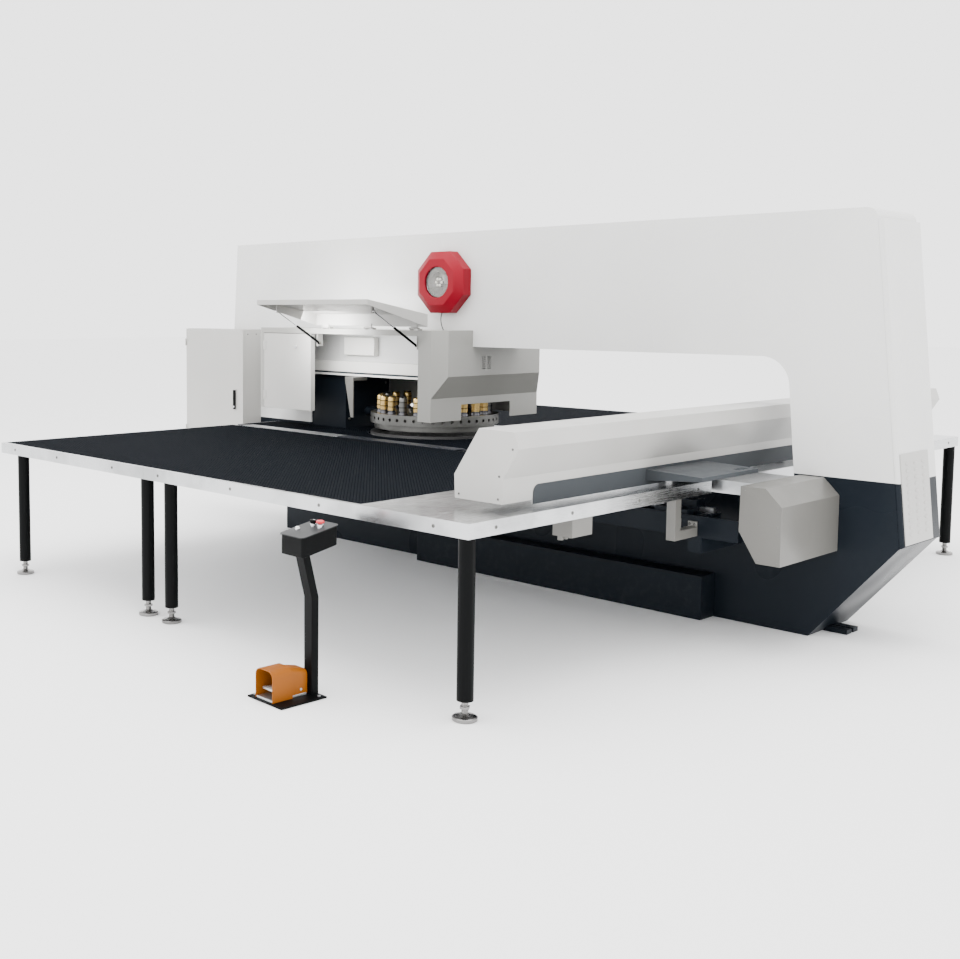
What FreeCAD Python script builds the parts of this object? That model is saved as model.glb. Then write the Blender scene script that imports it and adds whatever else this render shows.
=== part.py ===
import FreeCAD, Part
import math
import os
import re
import Sketcher

# CNC turret punch press, in millimetres, +Z up, floor at Z = 0.
# X runs across the machine, along the cross beam. Y runs along the O-shaped
# frame: the operator's end is at -Y, the closed back is at +Y. The origin is
# the point of the floor under the axis that both turrets turn on.

SIZES = {
    # welded O-shaped frame
    "frame_width": 500, "frame_plate": 40, "frame_top": 2340, "arm_underside": 1542,
    "head_underside": 1290, "base_top": 775, "front_top_y": -2045, "front_low_y": -2151,
    "front_low_z": 760, "toe_y": -1398, "toe_z": 300, "heel_y": 3029, "back_low_y": 3497,
    "back_low_z": 553, "back_top_y": 3311, "column_face_y": -1100, "head_end_y": 520,
    "throat_top_y": 2857, "throat_low_y": 2927, "throat_radius": 170, "top_round": 60,
    "web": 60, "drive_shaft_y": -1220,
    # back cover, base plinths and floor lugs
    "cover_depth": 24, "cover_drop": 60, "cover_round": 18, "sheet": 4,
    "panel_left": -130, "panel_right": 228, "panel_low_z": 470, "panel_high_z": 1050, "panel_thick": 6,
    "plinth_width": 150, "plinth_front_y": 207, "plinth_back_y": 2460, "plinth_height": 260,
    "lug_size": 60, "lug_thick": 25, "lug_half_gap": 40, "lug_hole_radius": 14,
    "lug_front_y": -1448, "lug_back_y": 3122,
    # tables
    "table_top": 880, "rim_depth": 70, "table_skin": 6, "table_back_y": 2703,
    "table_joint_y": 233, "table_front_y": -1494, "wing_outer": 2755, "wing_inner": 750,
    "centre_half": 690, "turret_gap_radius": 492, "rear_shelf_y": 2940, "rib": 12,
    "brush_height": 6, "brush_margin": 29, "brush_back_y": 2015, "brush_gap": 14,
    "strip_back_y": 870, "strip_join_y": -250, "strip_inner": 655,
    "strip_front_y": -1341,
    "junction_x": 1840, "leg_radius": 38, "leg_inset": 45, "leg_bottom": 88,
    "foot_radius": 57, "foot_stem": 13,
    # longitudinal rails of the cross beam
    "rail_beam_x": 670, "rail_beam_width": 100, "rail_beam_low": 560, "rail_beam_high": 700,
    "rail_beam_front_y": 760, "rail_beam_back_y": 2720, "rail_height": 25, "rail_width": 30,
    "outrigger_height": 85, "outrigger_depth": 80, "outrigger_reach": 872, "shield": 6,
    "shield_back_y": 2930,
    # cross beam, carried on two uprights
    "beam_y": 2450, "beam_depth": 140, "beam_low": 915, "beam_high": 1105, "beam_half": 2385,
    "beam_wall": 10, "cover_half": 2403, "carrier_length": 200, "carrier_y": 2425,
    "carrier_block": 90, "upright": 40, "y_screw_x": 820, "y_screw_z": 655,
    "y_screw_radius": 20, "y_screw_front_y": 770, "y_screw_back_y": 3030,
    "skirt_y": 2599.2, "skirt_thick": 3, "skirt_lean": 2.4, "skirt_low": 892, "skirt_high": 985,
    "skirt_half": 2180, "skirt_corner": 40, "tray_inner": 670, "tray_outer": 1240,
    "tray_back_y": 2925, "tray_top": 962,
    # carriage and clamps
    "carriage_half": 900, "carriage_y": 2370, "carriage_plate": 30, "carriage_high": 1092,
    "x_screw_y": 2425, "x_screw_z": 1010, "x_screw_radius": 14,
    "clamp_pitch": 700, "clamp_width": 84, "clamp_back_y": 2370, "clamp_tip_y": 2090,
    "clamp_top": 985, "pass_line": 900, "jaw_low": 887, "jaw_pivot_y": 2215,
    "jaw_pivot_z": 928, "jaw_pin_radius": 8,
    # motor cover behind the table
    "box_reach": 900, "box_front_y": 2946, "box_back_y": 3175, "box_low": 500, "box_high": 893,
    "motor_size": 140, "motor_length": 160,
    # turrets
    "turret_radius": 476, "upper_low": 925, "upper_high": 1040, "undercut_z": 965,
    "undercut_radius": 446, "lower_low": 783,
    "lower_high": 898, "pitch_radius": 400, "stations": 22, "index_holes": 44, "tool_radius": 32,
    "tool_gap": 0.4, "tool_head_radius": 24, "tool_tip_radius": 12, "tool_body_low": 967,
    "tool_body_high": 1105, "tool_head_high": 1170, "die_radius": 40, "die_depth": 30,
    "slug_radius": 30, "index_radius": 12, "index_depth": 36, "index_high_z": 1003,
    "index_low_z": 830, "shaft_radius": 70, "boss_radius": 150, "boss_height": 80,
    "hub_radius": 125, "hub_hole": 130, "hub_flange": 165, "bearing_radius": 105,
    "bearing_width": 40, "fit_gap": 0.1, "pulley_radius": 150, "pulley_width": 60,
    "upper_pulley_z": 2110, "lower_pulley_z": 270, "drive_radius": 35,
    "drive_pulley_radius": 75, "belt_thick": 6,
    # ram
    "ram_radius": 60, "ram_gap": 0.05, "ram_body_radius": 92, "ram_hole": 95,
    "striker_radius": 30, "striker_height": 50, "ram_length": 715, "striker_gap": 6, "ram_body_high": 2150,
    "slug_hole": 60,
    # index pin housing
    "index_back_y": -709, "index_half": 240, "index_top": 1284,
    "pin_gap": 0.4, "pin_tip_gap": 10, "pin_length": 320,
    # guard around the turrets
    "guard_half": 588, "guard_front_y": -1321, "guard_band_y": 498, "guard_end_y": 581,
    "guard_chamfer": 83, "guard_low": 1025, "guard_band_z": 1187, "guard_skirt_z": 1340,
    "guard_high": 1656, "window_front_y": -728, "window_back_y": 377, "window_top": 1616,
    "slot_half": 270, "slot_top": 1135, "stile": 33,
    # flap and its gas struts
    "flap_front_y": -668, "flap_back_y": 463, "hinge_x": 596, "hinge_z": 1668,
    "flap_low": 1680, "flap_high": 1767, "flap_tip_x": 1165, "flap_tip_high": 1864,
    "flap_tip_low": 1830, "knuckle_radius": 7, "hinge_pin_radius": 4, "knuckle_length": 60,
    "strut_foot_x": 575, "strut_foot_z": 1548, "strut_top_x": 993, "strut_top_z": 1786,
    "strut_front_y": -650, "strut_back_y": 350, "strut_radius": 9, "strut_rod_radius": 4,
    "strut_body": 250, "strut_stud": 5, "bracket_thick": 8,
    # guard door, cabinet
    "door_depth": 42, "door_gap": 3, "door_low": 1030, "door_high": 1612,
    "cabinet_x": 442, "cabinet_front_y": -2530, "cabinet_back_y": -1736, "cabinet_low": 640,
    "cabinet_high": 1632, "cabinet_door": 22, "handle_y": -1838, "handle_low": 966,
    "handle_high": 1126, "handle_width": 24,
    # lamp and its lead
    "lamp_y": 342, "lamp_z": 1990, "lamp_half": 215, "lamp_side": 82, "lamp_depth": 125,
    "lamp_face_half": 160, "lens_radius": 112, "lead_radius": 3,
    # control stand with the foot pedal
    "stand_x": 3091, "stand_y": 1906, "plate_length": 270, "plate_width": 255,
    "plate_thick": 8, "post_x": -131, "post_y": 42, "post_width": 56, "post_depth": 42,
    "post_bend_z": 466, "post_lean": 62, "post_top_z": 700,
    "head_back_x": -201, "head_front_x": 9, "head_width": 165, "head_low": 672,
    "head_slope": 40, "head_front": 767, "controls_x": -130, "button_x": -60,
    "pedal_y": -12, "pedal_guard_width": 128, "pedal_guard_length": 212,
    "pedal_guard_height": 145, "pedal_step": 62, "pedal_axle": 40,
}

DOC = FreeCAD.newDocument("TurretPunchPress")
SHEET = DOC.addObject("Spreadsheet::Sheet", "Sheet")
for row, (alias, number) in enumerate(SIZES.items(), start=1):
    SHEET.set(f"A{row}", alias)
    SHEET.set(f"B{row}", str(number))
    SHEET.setAlias(f"B{row}", alias)
DOC.recompute()

NODES = []
TURNED = {
    "X": FreeCAD.Rotation(FreeCAD.Vector(0, 1, 0), 90),
    "Y": FreeCAD.Rotation(FreeCAD.Vector(1, 0, 0), -90),
    "Z": FreeCAD.Rotation(),
}


def size(alias):
    """The number that a named cell of the sheet holds."""
    return float(getattr(SHEET, alias))


def formula(text):
    """Put the sheet's name before each size named in a formula."""
    return re.sub(r"[a-z_]+", lambda word: "Sheet." + word.group(0)
                  if word.group(0) in SIZES else word.group(0), str(text))


def bind(part, **formulas):
    """Tie properties of an object to formulas in the sheet's sizes."""
    for name, text in formulas.items():
        part.setExpression(name, formula(text))


def place(part, x=0, y=0, z=0, turn=None):
    """Set the turn of an object, and tie its place to formulas."""
    if turn:
        part.Placement = FreeCAD.Placement(FreeCAD.Vector(), turn)
    for axis, text in (("x", x), ("y", y), ("z", z)):
        part.setExpression(f"Placement.Base.{axis}", formula(text))
    return part


def box(label, x, y, z):
    """A block between the low and high formulas given for each axis."""
    part = DOC.addObject("Part::Box", label)
    bind(part, Length=f"({x[1]}) - ({x[0]})", Width=f"({y[1]}) - ({y[0]})",
         Height=f"({z[1]}) - ({z[0]})")
    return place(part, x[0], y[0], z[0])


def rod(label, radius, height, x=0, y=0, z=0, axis="Z"):
    """A round bar that starts at a point and runs along an axis."""
    part = DOC.addObject("Part::Cylinder", label)
    bind(part, Radius=radius, Height=height)
    return place(part, x, y, z, TURNED[axis])


def taper(label, low_radius, high_radius, height, x=0, y=0, z=0, axis="Z"):
    """A cone frustum that starts at a point and runs along an axis."""
    part = DOC.addObject("Part::Cone", label)
    bind(part, Radius1=low_radius, Radius2=high_radius, Height=height)
    return place(part, x, y, z, TURNED[axis])


def prism(label, plane, outlines, length, x=0, y=0, z=0):
    """A padded sketch of straight-sided outlines. Each corner is tied to formulas."""
    body = DOC.addObject("PartDesign::Body", label)
    sketch = body.newObject("Sketcher::SketchObject", label + "_sketch")
    origin_plane = [item for item in body.Origin.OriginFeatures if item.Role == plane][0]
    sketch.AttachmentSupport = [(origin_plane, "")]
    sketch.MapMode = "FlatFace"
    for outline in outlines:
        draw_outline(sketch, outline)
    pad = body.newObject("PartDesign::Pad", label + "_pad")
    pad.Profile = sketch
    pad.setExpression("Length", formula(length))
    pad.Reversed = plane == "XZ_Plane"
    return place(body, x, y, z)


def draw_outline(sketch, outline):
    """Draw a closed outline and tie every corner to its two formulas."""
    count = len(outline)
    first = sketch.GeometryCount
    start = [FreeCAD.Vector(100 * math.cos(math.tau * i / count),
                            100 * math.sin(math.tau * i / count), 0) for i in range(count)]
    for i in range(count):
        sketch.addGeometry(Part.LineSegment(start[i], start[(i + 1) % count]), False)
    for i in range(count):
        following = first + (i + 1) % count
        sketch.addConstraint(Sketcher.Constraint("Coincident", first + i, 2, following, 1))
    for i, corner in enumerate(outline):
        for kind, text in zip(("DistanceX", "DistanceY"), corner):
            index = sketch.addConstraint(
                Sketcher.Constraint(kind, -1, 1, first + i, 1, 10.0 + i))
            sketch.setExpression(f"Constraints[{index}]", formula(text))


def cut(label, base, *tools):
    """The base with the tools taken away."""
    result = DOC.addObject("Part::Cut", label)
    result.Base = base
    result.Tool = tools[0] if len(tools) == 1 else fuse(label + "_tools", *tools)
    return result


def fuse(label, *parts):
    """Several overlapping shapes as one solid."""
    result = DOC.addObject("Part::MultiFuse", label)
    result.Shapes = list(parts)
    return result


def common(label, base, tool):
    """What two shapes share."""
    result = DOC.addObject("Part::Common", label)
    result.Base = base
    result.Tool = tool
    return result


def group(label, *parts):
    """Separate solids that share one node."""
    result = DOC.addObject("Part::Compound", label)
    result.Links = list(parts)
    return result


def rounded(label, base, radius, wanted):
    """Fillet the edges for which wanted(edge) is true."""
    DOC.recompute()
    result = DOC.addObject("Part::Fillet", label)
    result.Base = base
    numbers = [i for i, edge in enumerate(base.Shape.Edges, start=1) if wanted(edge)]
    result.Edges = [(i, size(radius), size(radius)) for i in numbers]
    return result


def runs_along(edge, axis):
    """Whether a straight edge is parallel to an axis, given as 0, 1 or 2."""
    if not isinstance(edge.Curve, Part.Line):
        return False
    return abs(abs(edge.Curve.Direction[axis]) - 1) < 1e-6


def side_span(side, low, high):
    """A span of X on the +X side, or its mirror image on the -X side."""
    if side > 0:
        return (f"{low}", f"{high}")
    return (f"-({high})", f"-({low})")


def node(part):
    """Keep a finished sub-part for export. Its label is the node's name."""
    NODES.append(part)
    return part


def station_angles(count_name):
    """Equal steps round a turret, in degrees. The first faces +Y, under the ram."""
    count = int(size(count_name))
    return [90 + 360 * i / count for i in range(count)]


HALF = "frame_width / 2"


def make_frame():
    """Welded box frame: plates all round, hollow arm, head, column and base."""
    outline = [("toe_y", 0), ("heel_y", 0), ("back_low_y", "back_low_z"),
               ("back_top_y", "frame_top"), ("front_top_y", "frame_top"),
               ("front_low_y", "front_low_z"), ("toe_y", "toe_z")]
    throat = [("column_face_y", "base_top"), ("throat_low_y", "base_top"),
              ("throat_top_y", "arm_underside"), ("head_end_y", "arm_underside"),
              ("head_end_y", "head_underside"), ("column_face_y", "head_underside")]
    plates = prism("frame_blank", "YZ_Plane", [outline, throat], "frame_width", f"-{HALF}")
    back_top = (size("back_top_y"), size("frame_top"))
    throat_top = (size("throat_top_y"), size("arm_underside"))

    def at(edge, corner):
        middle = edge.CenterOfMass
        near = math.hypot(middle.y - corner[0], middle.z - corner[1]) < 1
        return runs_along(edge, 0) and near

    eased = rounded("frame_eased", plates, "top_round", lambda edge: at(edge, back_top))
    throated = rounded("frame_throated", eased, "throat_radius",
                       lambda edge: at(edge, throat_top))
    inside = (f"frame_plate - {HALF}", f"{HALF} - frame_plate")
    hollows = [
        box("arm_hollow", inside, ("front_top_y + 85", "back_top_y - 80"),
            ("arm_underside + web", "frame_top - web")),
        box("head_hollow", inside, ("column_face_y + frame_plate", "head_end_y - frame_plate"),
            ("head_underside + frame_plate", "arm_underside + web + 10")),
        box("column_hollow", inside, ("front_top_y + 5", "column_face_y - web"),
            ("front_low_z + web", "arm_underside + 18")),
        box("column_foot_hollow", inside, ("toe_y + web", "column_face_y - web"),
            ("front_low_z", "front_low_z + web + 10")),
        box("base_hollow", inside, ("toe_y + web + 30", "throat_low_y - 30"),
            ("web", "base_top - 75")),
        box("rear_hollow", inside, ("throat_low_y + web", "back_top_y - 60"),
            ("back_low_z - 130", "arm_underside + 18")),
    ]
    holes = [
        rod("ram_opening", "ram_hole", 100, 0, "pitch_radius", "head_underside - 30"),
        rod("upper_hub_opening", "hub_hole", 100, 0, 0, "head_underside - 30"),
        rod("lower_hub_opening", "hub_hole", 100, 0, 0, "base_top - 90"),
        rod("slug_opening", "slug_hole", 100, 0, "pitch_radius", "base_top - 90"),
        rod("drive_opening_high", "web", 60, 0, "drive_shaft_y", "arm_underside + 10"),
        rod("drive_opening_low", "web", 80, 0, "drive_shaft_y", "base_top - 85"),
    ]
    node(cut("frame", throated, *hollows, *holes))
    return plates


def make_rear_cover():
    """Folded cover on the sloping back, with a pressed panel, both hollow behind."""
    def slope(z):
        return (f"back_low_y + (back_top_y - back_low_y) * ({z} - back_low_z)"
                " / (frame_top - back_low_z)")

    low, high = "back_low_z", "frame_top - cover_drop"
    skin = prism("rear_cover_blank", "YZ_Plane", [[
        (slope(low), low), (f"{slope(low + ' + 12')} + cover_depth", f"{low} + 12"),
        (f"{slope(high)} + cover_depth", high), (slope(high), high)]],
        "frame_width", f"-{HALF}")
    eased = rounded("rear_cover_eased", skin, "cover_round", lambda edge: (
        abs(edge.CenterOfMass.y - slope_number(edge.CenterOfMass.z)) > size("cover_depth") / 2
        and abs(abs(edge.CenterOfMass.x) - size("frame_width") / 2) < 1
        and edge.Length > 1000))
    hollow = prism("rear_cover_hollow", "YZ_Plane", [[
        (slope(f"{low} + sheet + 12"), f"{low} + sheet + 12"),
        (f"{slope(low + ' + 12')} + cover_depth - sheet * 4", f"{low} + sheet + 12"),
        (f"{slope(high)} + cover_depth - sheet * 2", f"{high} - sheet"),
        (slope(f"{high} - sheet"), f"{high} - sheet")]],
        "frame_width - 16 * sheet", f"8 * sheet - {HALF}")
    node(cut("rear_cover", eased, hollow))

    panel = prism("louvre_blank", "YZ_Plane", [[
        (f"{slope('panel_low_z')} + cover_depth", "panel_low_z"),
        (f"{slope('panel_low_z')} + cover_depth + panel_thick", "panel_low_z"),
        (f"{slope('panel_high_z')} + cover_depth + panel_thick", "panel_high_z"),
        (f"{slope('panel_high_z')} + cover_depth", "panel_high_z")]],
        "panel_right - panel_left", "panel_left")
    node(common("louvre_panel", panel, box(
        "louvre_limit", ("panel_left", "panel_right"),
        ("back_top_y", "back_low_y + 300"), ("back_low_z + 20", "panel_high_z"))))


def slope_number(height):
    """Y of the frame's sloping back at a height, as a number."""
    share = (height - size("back_low_z")) / (size("frame_top") - size("back_low_z"))
    return size("back_low_y") + share * (size("back_top_y") - size("back_low_y"))


def make_plinths():
    """A hollow welded plinth bolted along each side of the base."""
    pair = []
    for side in (1, -1):
        outer = box("plinth_block", side_span(side, HALF, f"{HALF} + plinth_width"),
                    ("plinth_front_y", "plinth_back_y"), (0, "plinth_height"))
        inner = box("plinth_inside", side_span(side, f"{HALF} + 20",
                                               f"{HALF} + plinth_width - 20"),
                    ("plinth_front_y + 20", "plinth_back_y - 20"),
                    (20, "plinth_height - 20"))
        pair.append(cut("plinth_side", outer, inner))
    node(group("base_plinths", *pair))


def make_lugs(frame_blank):
    """Floor lugs welded under the ends of the base, each with an anchor bolt hole."""
    lugs = []
    spans = {"lug_front_y": ("lug_front_y - 45", "toe_y + 5"),
             "lug_back_y": ("heel_y - 15", "lug_back_y + 45")}
    for y, span in spans.items():
        for side in (1, -1):
            centre = f"{side} * lug_half_gap"
            plate = box("lug_plate", (f"{centre} - lug_size / 2", f"{centre} + lug_size / 2"),
                        span, (0, "lug_thick"))
            hole = rod("lug_hole", "lug_hole_radius", "lug_thick + 20", centre, y, -10)
            lugs.append(cut("lug", plate, hole, frame_blank))
    node(group("floor_lugs", *lugs))


def table_section(label, x, y):
    """A folded steel tray: a skin with a deep rim all round and two ribs below."""
    outer = box(label + "_block", x, y, ("table_top - rim_depth", "table_top"))
    inner = box(label + "_inside", (f"{x[0]} + table_skin", f"{x[1]} - table_skin"),
                (f"{y[0]} + table_skin", f"{y[1]} - table_skin"),
                ("table_top - rim_depth - 10", "table_top - table_skin"))
    tray = cut(label + "_tray", outer, inner)
    ribs = []
    for share in (1, 2):
        middle = f"(({y[0]}) + (({y[1]}) - ({y[0]})) * {share} / 3)"
        ribs.append(box(label + "_rib", x, (f"{middle} - rib / 2", f"{middle} + rib / 2"),
                        ("table_top - rim_depth + 20", "table_top - 3")))
    return fuse(label, tray, *ribs)


def make_tables():
    """Wing tables in two sections each side, and the centre table round the turret."""
    for side, name in ((1, "right"), (-1, "left")):
        x = side_span(side, "wing_inner", "wing_outer")
        front = table_section(f"wing_{name}_front", x, ("table_front_y", "table_joint_y - 1"))
        back = table_section(f"wing_{name}_back", x, ("table_joint_y", "table_back_y"))
        node(group(f"wing_tables_{name}", front, back))

    skin = box("centre_skin", ("-centre_half", "centre_half"),
               ("table_front_y", "table_back_y"), ("table_top - table_skin", "table_top"))
    parts = [skin]
    for side in (1, -1):
        parts.append(box("centre_edge", side_span(side, "centre_half - table_skin",
                                                  "centre_half"),
                         ("table_front_y", "rear_shelf_y"),
                         ("table_top - rim_depth", "table_top")))
        parts.append(box("rear_shelf", side_span(side, HALF, "centre_half"),
                         ("table_back_y - 5", "rear_shelf_y"),
                         ("table_top - table_skin", "table_top")))
        parts.append(box("centre_stay", side_span(side, HALF, "centre_half"),
                         ("plinth_front_y + 500", "plinth_front_y + 560"),
                         ("table_top - rim_depth", "table_top - 3")))
    for y in ("head_end_y + 100", "brush_back_y - 400", "table_back_y - 60"):
        parts.append(box("centre_foot", (f"-{HALF}", HALF), (y, f"{y} + 50"),
                         ("base_top", "table_top - 3")))
    whole = fuse("centre_whole", *parts)
    node(cut("centre_table", whole,
             rod("turret_gap", "turret_gap_radius", 300, 0, 0, "base_top - 50"),
             box("column_gap", (f"-{HALF}", HALF), ("table_front_y - 10", "index_back_y + 2"),
                 ("base_top - 50", "table_top + 50"))))

    fields = []
    for side in (1, -1):
        x = side_span(side, "wing_inner + brush_gap", "wing_outer - brush_margin")
        fields.append(box("brush_front", x, ("table_front_y + brush_margin",
                                             "table_joint_y - 1"),
                          ("table_top", "table_top + brush_height")))
        fields.append(box("brush_back", x, ("table_joint_y", "brush_back_y"),
                          ("table_top", "table_top + brush_height")))
    middle = box("brush_middle", ("-strip_inner + 4", "strip_inner - 4"),
                 ("table_front_y + brush_margin", "brush_back_y"),
                 ("table_top", "table_top + brush_height"))
    fields.append(cut("brush_centre", middle,
                      rod("brush_turret_gap", "turret_gap_radius + 6", 300, 0, 0, "base_top"),
                      box("brush_column_gap", (f"-{HALF} - 6", f"{HALF} + 6"),
                          ("table_front_y - 10", "index_back_y + 8"),
                          ("base_top", "table_top + 50"))))
    node(group("brush_fields", *fields))

    strips = []
    for side in (1, -1):
        x = side_span(side, "strip_inner", "wing_inner + brush_gap - 2")
        strips.append(box("strip_front", x, ("strip_front_y", "strip_join_y"),
                          ("table_top", "table_top + brush_height")))
        strips.append(box("strip_back", x, ("strip_join_y + 1", "strip_back_y"),
                          ("table_top", "table_top + brush_height")))
    node(group("gap_strips", *strips))


def make_legs():
    """Eight tubular legs with plugs, on chromed levelling feet."""
    legs, feet = [], []
    for side in (1, -1):
        x = f"{side} * (wing_outer - leg_inset)"
        for y in ("table_back_y - leg_inset", "table_joint_y + 212",
                  "table_joint_y - 23", "table_front_y + 226"):
            tube = rod("leg_tube", "leg_radius", "table_top - table_skin - leg_bottom",
                       x, y, "leg_bottom")
            bore = rod("leg_bore", "leg_radius - 4", "table_top - leg_bottom - 40",
                       x, y, "leg_bottom + 16")
            thread = rod("leg_thread", "foot_stem + fit_gap", 40, x, y, "leg_bottom - 10")
            legs.append(cut("leg", tube, bore, thread))
            feet.append(fuse(
                "foot",
                rod("foot_pad", "foot_radius", 9, x, y, 0),
                taper("foot_flare", "foot_radius - 3", "foot_stem + 6", 20, x, y, 9),
                rod("foot_screw", "foot_stem", "leg_bottom - 19", x, y, 29),
                rod("foot_nut", "foot_stem + 12", 14, x, y, "leg_bottom - 30")))
    rims = [cut("leg_seated", leg, box("rim_clear", ("-wing_outer", "wing_outer"),
                                       ("table_joint_y - 1 - table_skin", "table_joint_y + table_skin"),
                                       ("table_top - rim_depth", "table_top")))
            for leg in legs]
    node(group("table_legs", *rims))
    node(group("levelling_feet", *feet))


def make_brackets():
    """Angle brackets between the back rims and the outriggers, and a junction block."""
    pair = []
    for side in (1, -1):
        pair.append(fuse(
            "bracket",
            box("bracket_leg", side_span(side, 1040, 1096),
                ("table_back_y - 60", "table_back_y - table_skin - 1"),
                (590, "table_top - table_skin")),
            box("bracket_foot", side_span(side, "outrigger_reach + 8", 1045),
                ("table_back_y - 60", "table_back_y - table_skin - 1"), (590, 640)),
            box("bracket_flange", side_span(side, "outrigger_reach", "outrigger_reach + 10"),
                ("table_back_y - 60", "table_back_y - table_skin - 1"), (590, 670)),
            box("bracket_gusset", side_span(side, 1000, 1045),
                ("table_back_y - 36", "table_back_y - 28"), (635, 700))))
    node(group("table_brackets", *pair))

    glands = [rod("gland", 14, 28, f"junction_x + 23 + 38 * {i}", "table_back_y - 90", 700)
              for i in range(4)]
    node(fuse("junction_block",
              box("junction_body", ("junction_x", "junction_x + 160"),
                  ("table_back_y - 120", "table_back_y - table_skin"), (722, 812)), *glands))


def make_y_guides():
    """Longitudinal beams on outriggers from the frame, with one guide rail on each."""
    beams, rails = [], []
    for side in (1, -1):
        beam_x = side_span(side, "rail_beam_x", "rail_beam_x + rail_beam_width")
        parts = [box("rail_beam", beam_x, ("rail_beam_front_y", "rail_beam_back_y"),
                     ("rail_beam_low", "rail_beam_high"))]
        for y in ("rail_beam_front_y", "rail_beam_back_y - outrigger_depth"):
            parts.append(box("outrigger", side_span(side, HALF, "outrigger_reach"),
                             (y, f"{y} + outrigger_depth"),
                             ("rail_beam_low - 60", "rail_beam_low - 60 + outrigger_height")))
        parts.append(box("screw_shield", side_span(side, "outrigger_reach - shield",
                                                   "outrigger_reach"),
                         ("rail_beam_front_y", "shield_back_y"),
                         ("rail_beam_low - 60 + outrigger_height - 1", "rail_beam_high")))
        for y in ("rail_beam_front_y + 20", "rail_beam_back_y - 60"):
            if side > 0:
                parts.append(box("screw_bearing", ("rail_beam_x + rail_beam_width - 5",
                                                   "outrigger_reach - shield + 1"),
                                 (y, f"{y} + 40"), ("y_screw_z - 45", "y_screw_z + 40")))
                parts.append(box("bearing_post", ("y_screw_x - 40", "y_screw_x + 40"),
                                 (y, f"{y} + 40"), ("rail_beam_low", "y_screw_z")))
        solid = fuse("rail_beam_solid", *parts)
        hollow = box("rail_beam_hollow",
                     side_span(side, "rail_beam_x + 8", "rail_beam_x + rail_beam_width - 8"),
                     ("rail_beam_front_y - 10", "rail_beam_back_y + 10"),
                     ("rail_beam_low + 33", "rail_beam_high - 8"))
        bore = rod("bearing_bore", "y_screw_radius + ram_gap",
                   "rail_beam_back_y - rail_beam_front_y + 20", f"{side} * y_screw_x",
                   "rail_beam_front_y - 10", "y_screw_z", "Y")
        beams.append(cut("rail_beam_side", solid, hollow, bore))
        middle = "rail_beam_x + rail_beam_width / 2"
        rails.append(box("guide_rail", side_span(side, f"{middle} - rail_width / 2",
                                                 f"{middle} + rail_width / 2"),
                         ("rail_beam_front_y + 10", "rail_beam_back_y - 10"),
                         ("rail_beam_high", "rail_beam_high + rail_height")))
    node(group("y_rail_beams", *beams))
    node(group("y_rails", *rails))


def make_y_screw():
    """Ball screw beside the +X rail beam, turned by a motor at its back end."""
    start = "y_screw_front_y"
    node(fuse("y_screw",
              rod("screw_bar", "y_screw_radius", "y_screw_back_y - y_screw_front_y",
                  "y_screw_x", start, "y_screw_z", "Y"),
              rod("screw_coupling", "y_screw_radius + 12", 58, "y_screw_x",
                  "y_screw_back_y - 90", "y_screw_z", "Y")))


def servo_motor(label, x, y, z, axis):
    """A square servo motor with a round back cap and a bore for its shaft end."""
    half = "motor_size / 2"
    if axis == "Z":
        body = box(label + "_body", (f"{x} - {half}", f"{x} + {half}"),
                   (f"{y} - {half}", f"{y} + {half}"), (f"{z} - motor_length", z))
        bore = rod(label + "_bore", "drive_radius + ram_gap", 70, x, y, f"{z} - 60")
    else:
        body = box(label + "_body", (f"{x} - {half}", f"{x} + {half}"),
                   (y, f"{y} + motor_length"), (f"{z} - {half}", f"{z} + {half}"))
        bore = rod(label + "_bore", "y_screw_radius + ram_gap", 70, x, f"{y} - 10", z, "Y")
    return cut(label, body, bore)


def make_motor_cover():
    """Folded box that stands out of the frame's side over the end of the Y drive."""
    outline = [("box_front_y", "box_low + 157"), ("box_front_y + 100", "box_low"),
               ("box_back_y", "box_low"), ("box_back_y", "box_high - 88"),
               ("box_back_y - 88", "box_high"), ("box_front_y + 4", "box_high")]
    inner = [("box_front_y + sheet", "box_low + 158"),
             ("box_front_y + 100 + sheet", "box_low + sheet"),
             ("box_back_y - sheet", "box_low + sheet"),
             ("box_back_y - sheet", "box_high - 88 - sheet"),
             ("box_back_y - 88 - sheet", "box_high - sheet"),
             ("box_front_y + 4 + sheet", "box_high - sheet")]
    shell = prism("motor_cover_blank", "YZ_Plane", [outline], f"box_reach - {HALF}", HALF)
    space = prism("motor_cover_space", "YZ_Plane", [inner],
                  f"box_reach - {HALF} - 2 * sheet", f"{HALF} + sheet")
    way_in = rod("motor_cover_hole", "y_screw_radius + 26", 60, "y_screw_x",
                 "box_front_y - 20", "y_screw_z", "Y")
    node(cut("motor_cover", shell, space, way_in))
    stand = box("motor_stand", ("y_screw_x - motor_size / 2", "y_screw_x + motor_size / 2"),
                ("box_back_y - 190", "box_back_y - sheet"),
                ("box_low + sheet", "y_screw_z - motor_size / 2"))
    motor = servo_motor("y_motor", "y_screw_x", "box_back_y - 175", "y_screw_z", "Y")
    seated = common("motor_seat", stand, box(
        "seat_limit", ("y_screw_x - 60", "y_screw_x + 60"),
        ("box_front_y + 104 + sheet", "box_back_y - sheet"), ("box_low + sheet", 600)))
    turret_motor = servo_motor("turret_motor", 0, "drive_shaft_y", "lower_pulley_z - 40", "Z")
    foot = box("turret_motor_foot", (-60, 60), ("drive_shaft_y - 60", "drive_shaft_y + 60"),
               ("web", "lower_pulley_z - 35 - motor_length"))
    node(group("servo_motors", fuse("y_motor_seated", motor, seated),
               fuse("turret_motor_seated", turret_motor, foot)))


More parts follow.
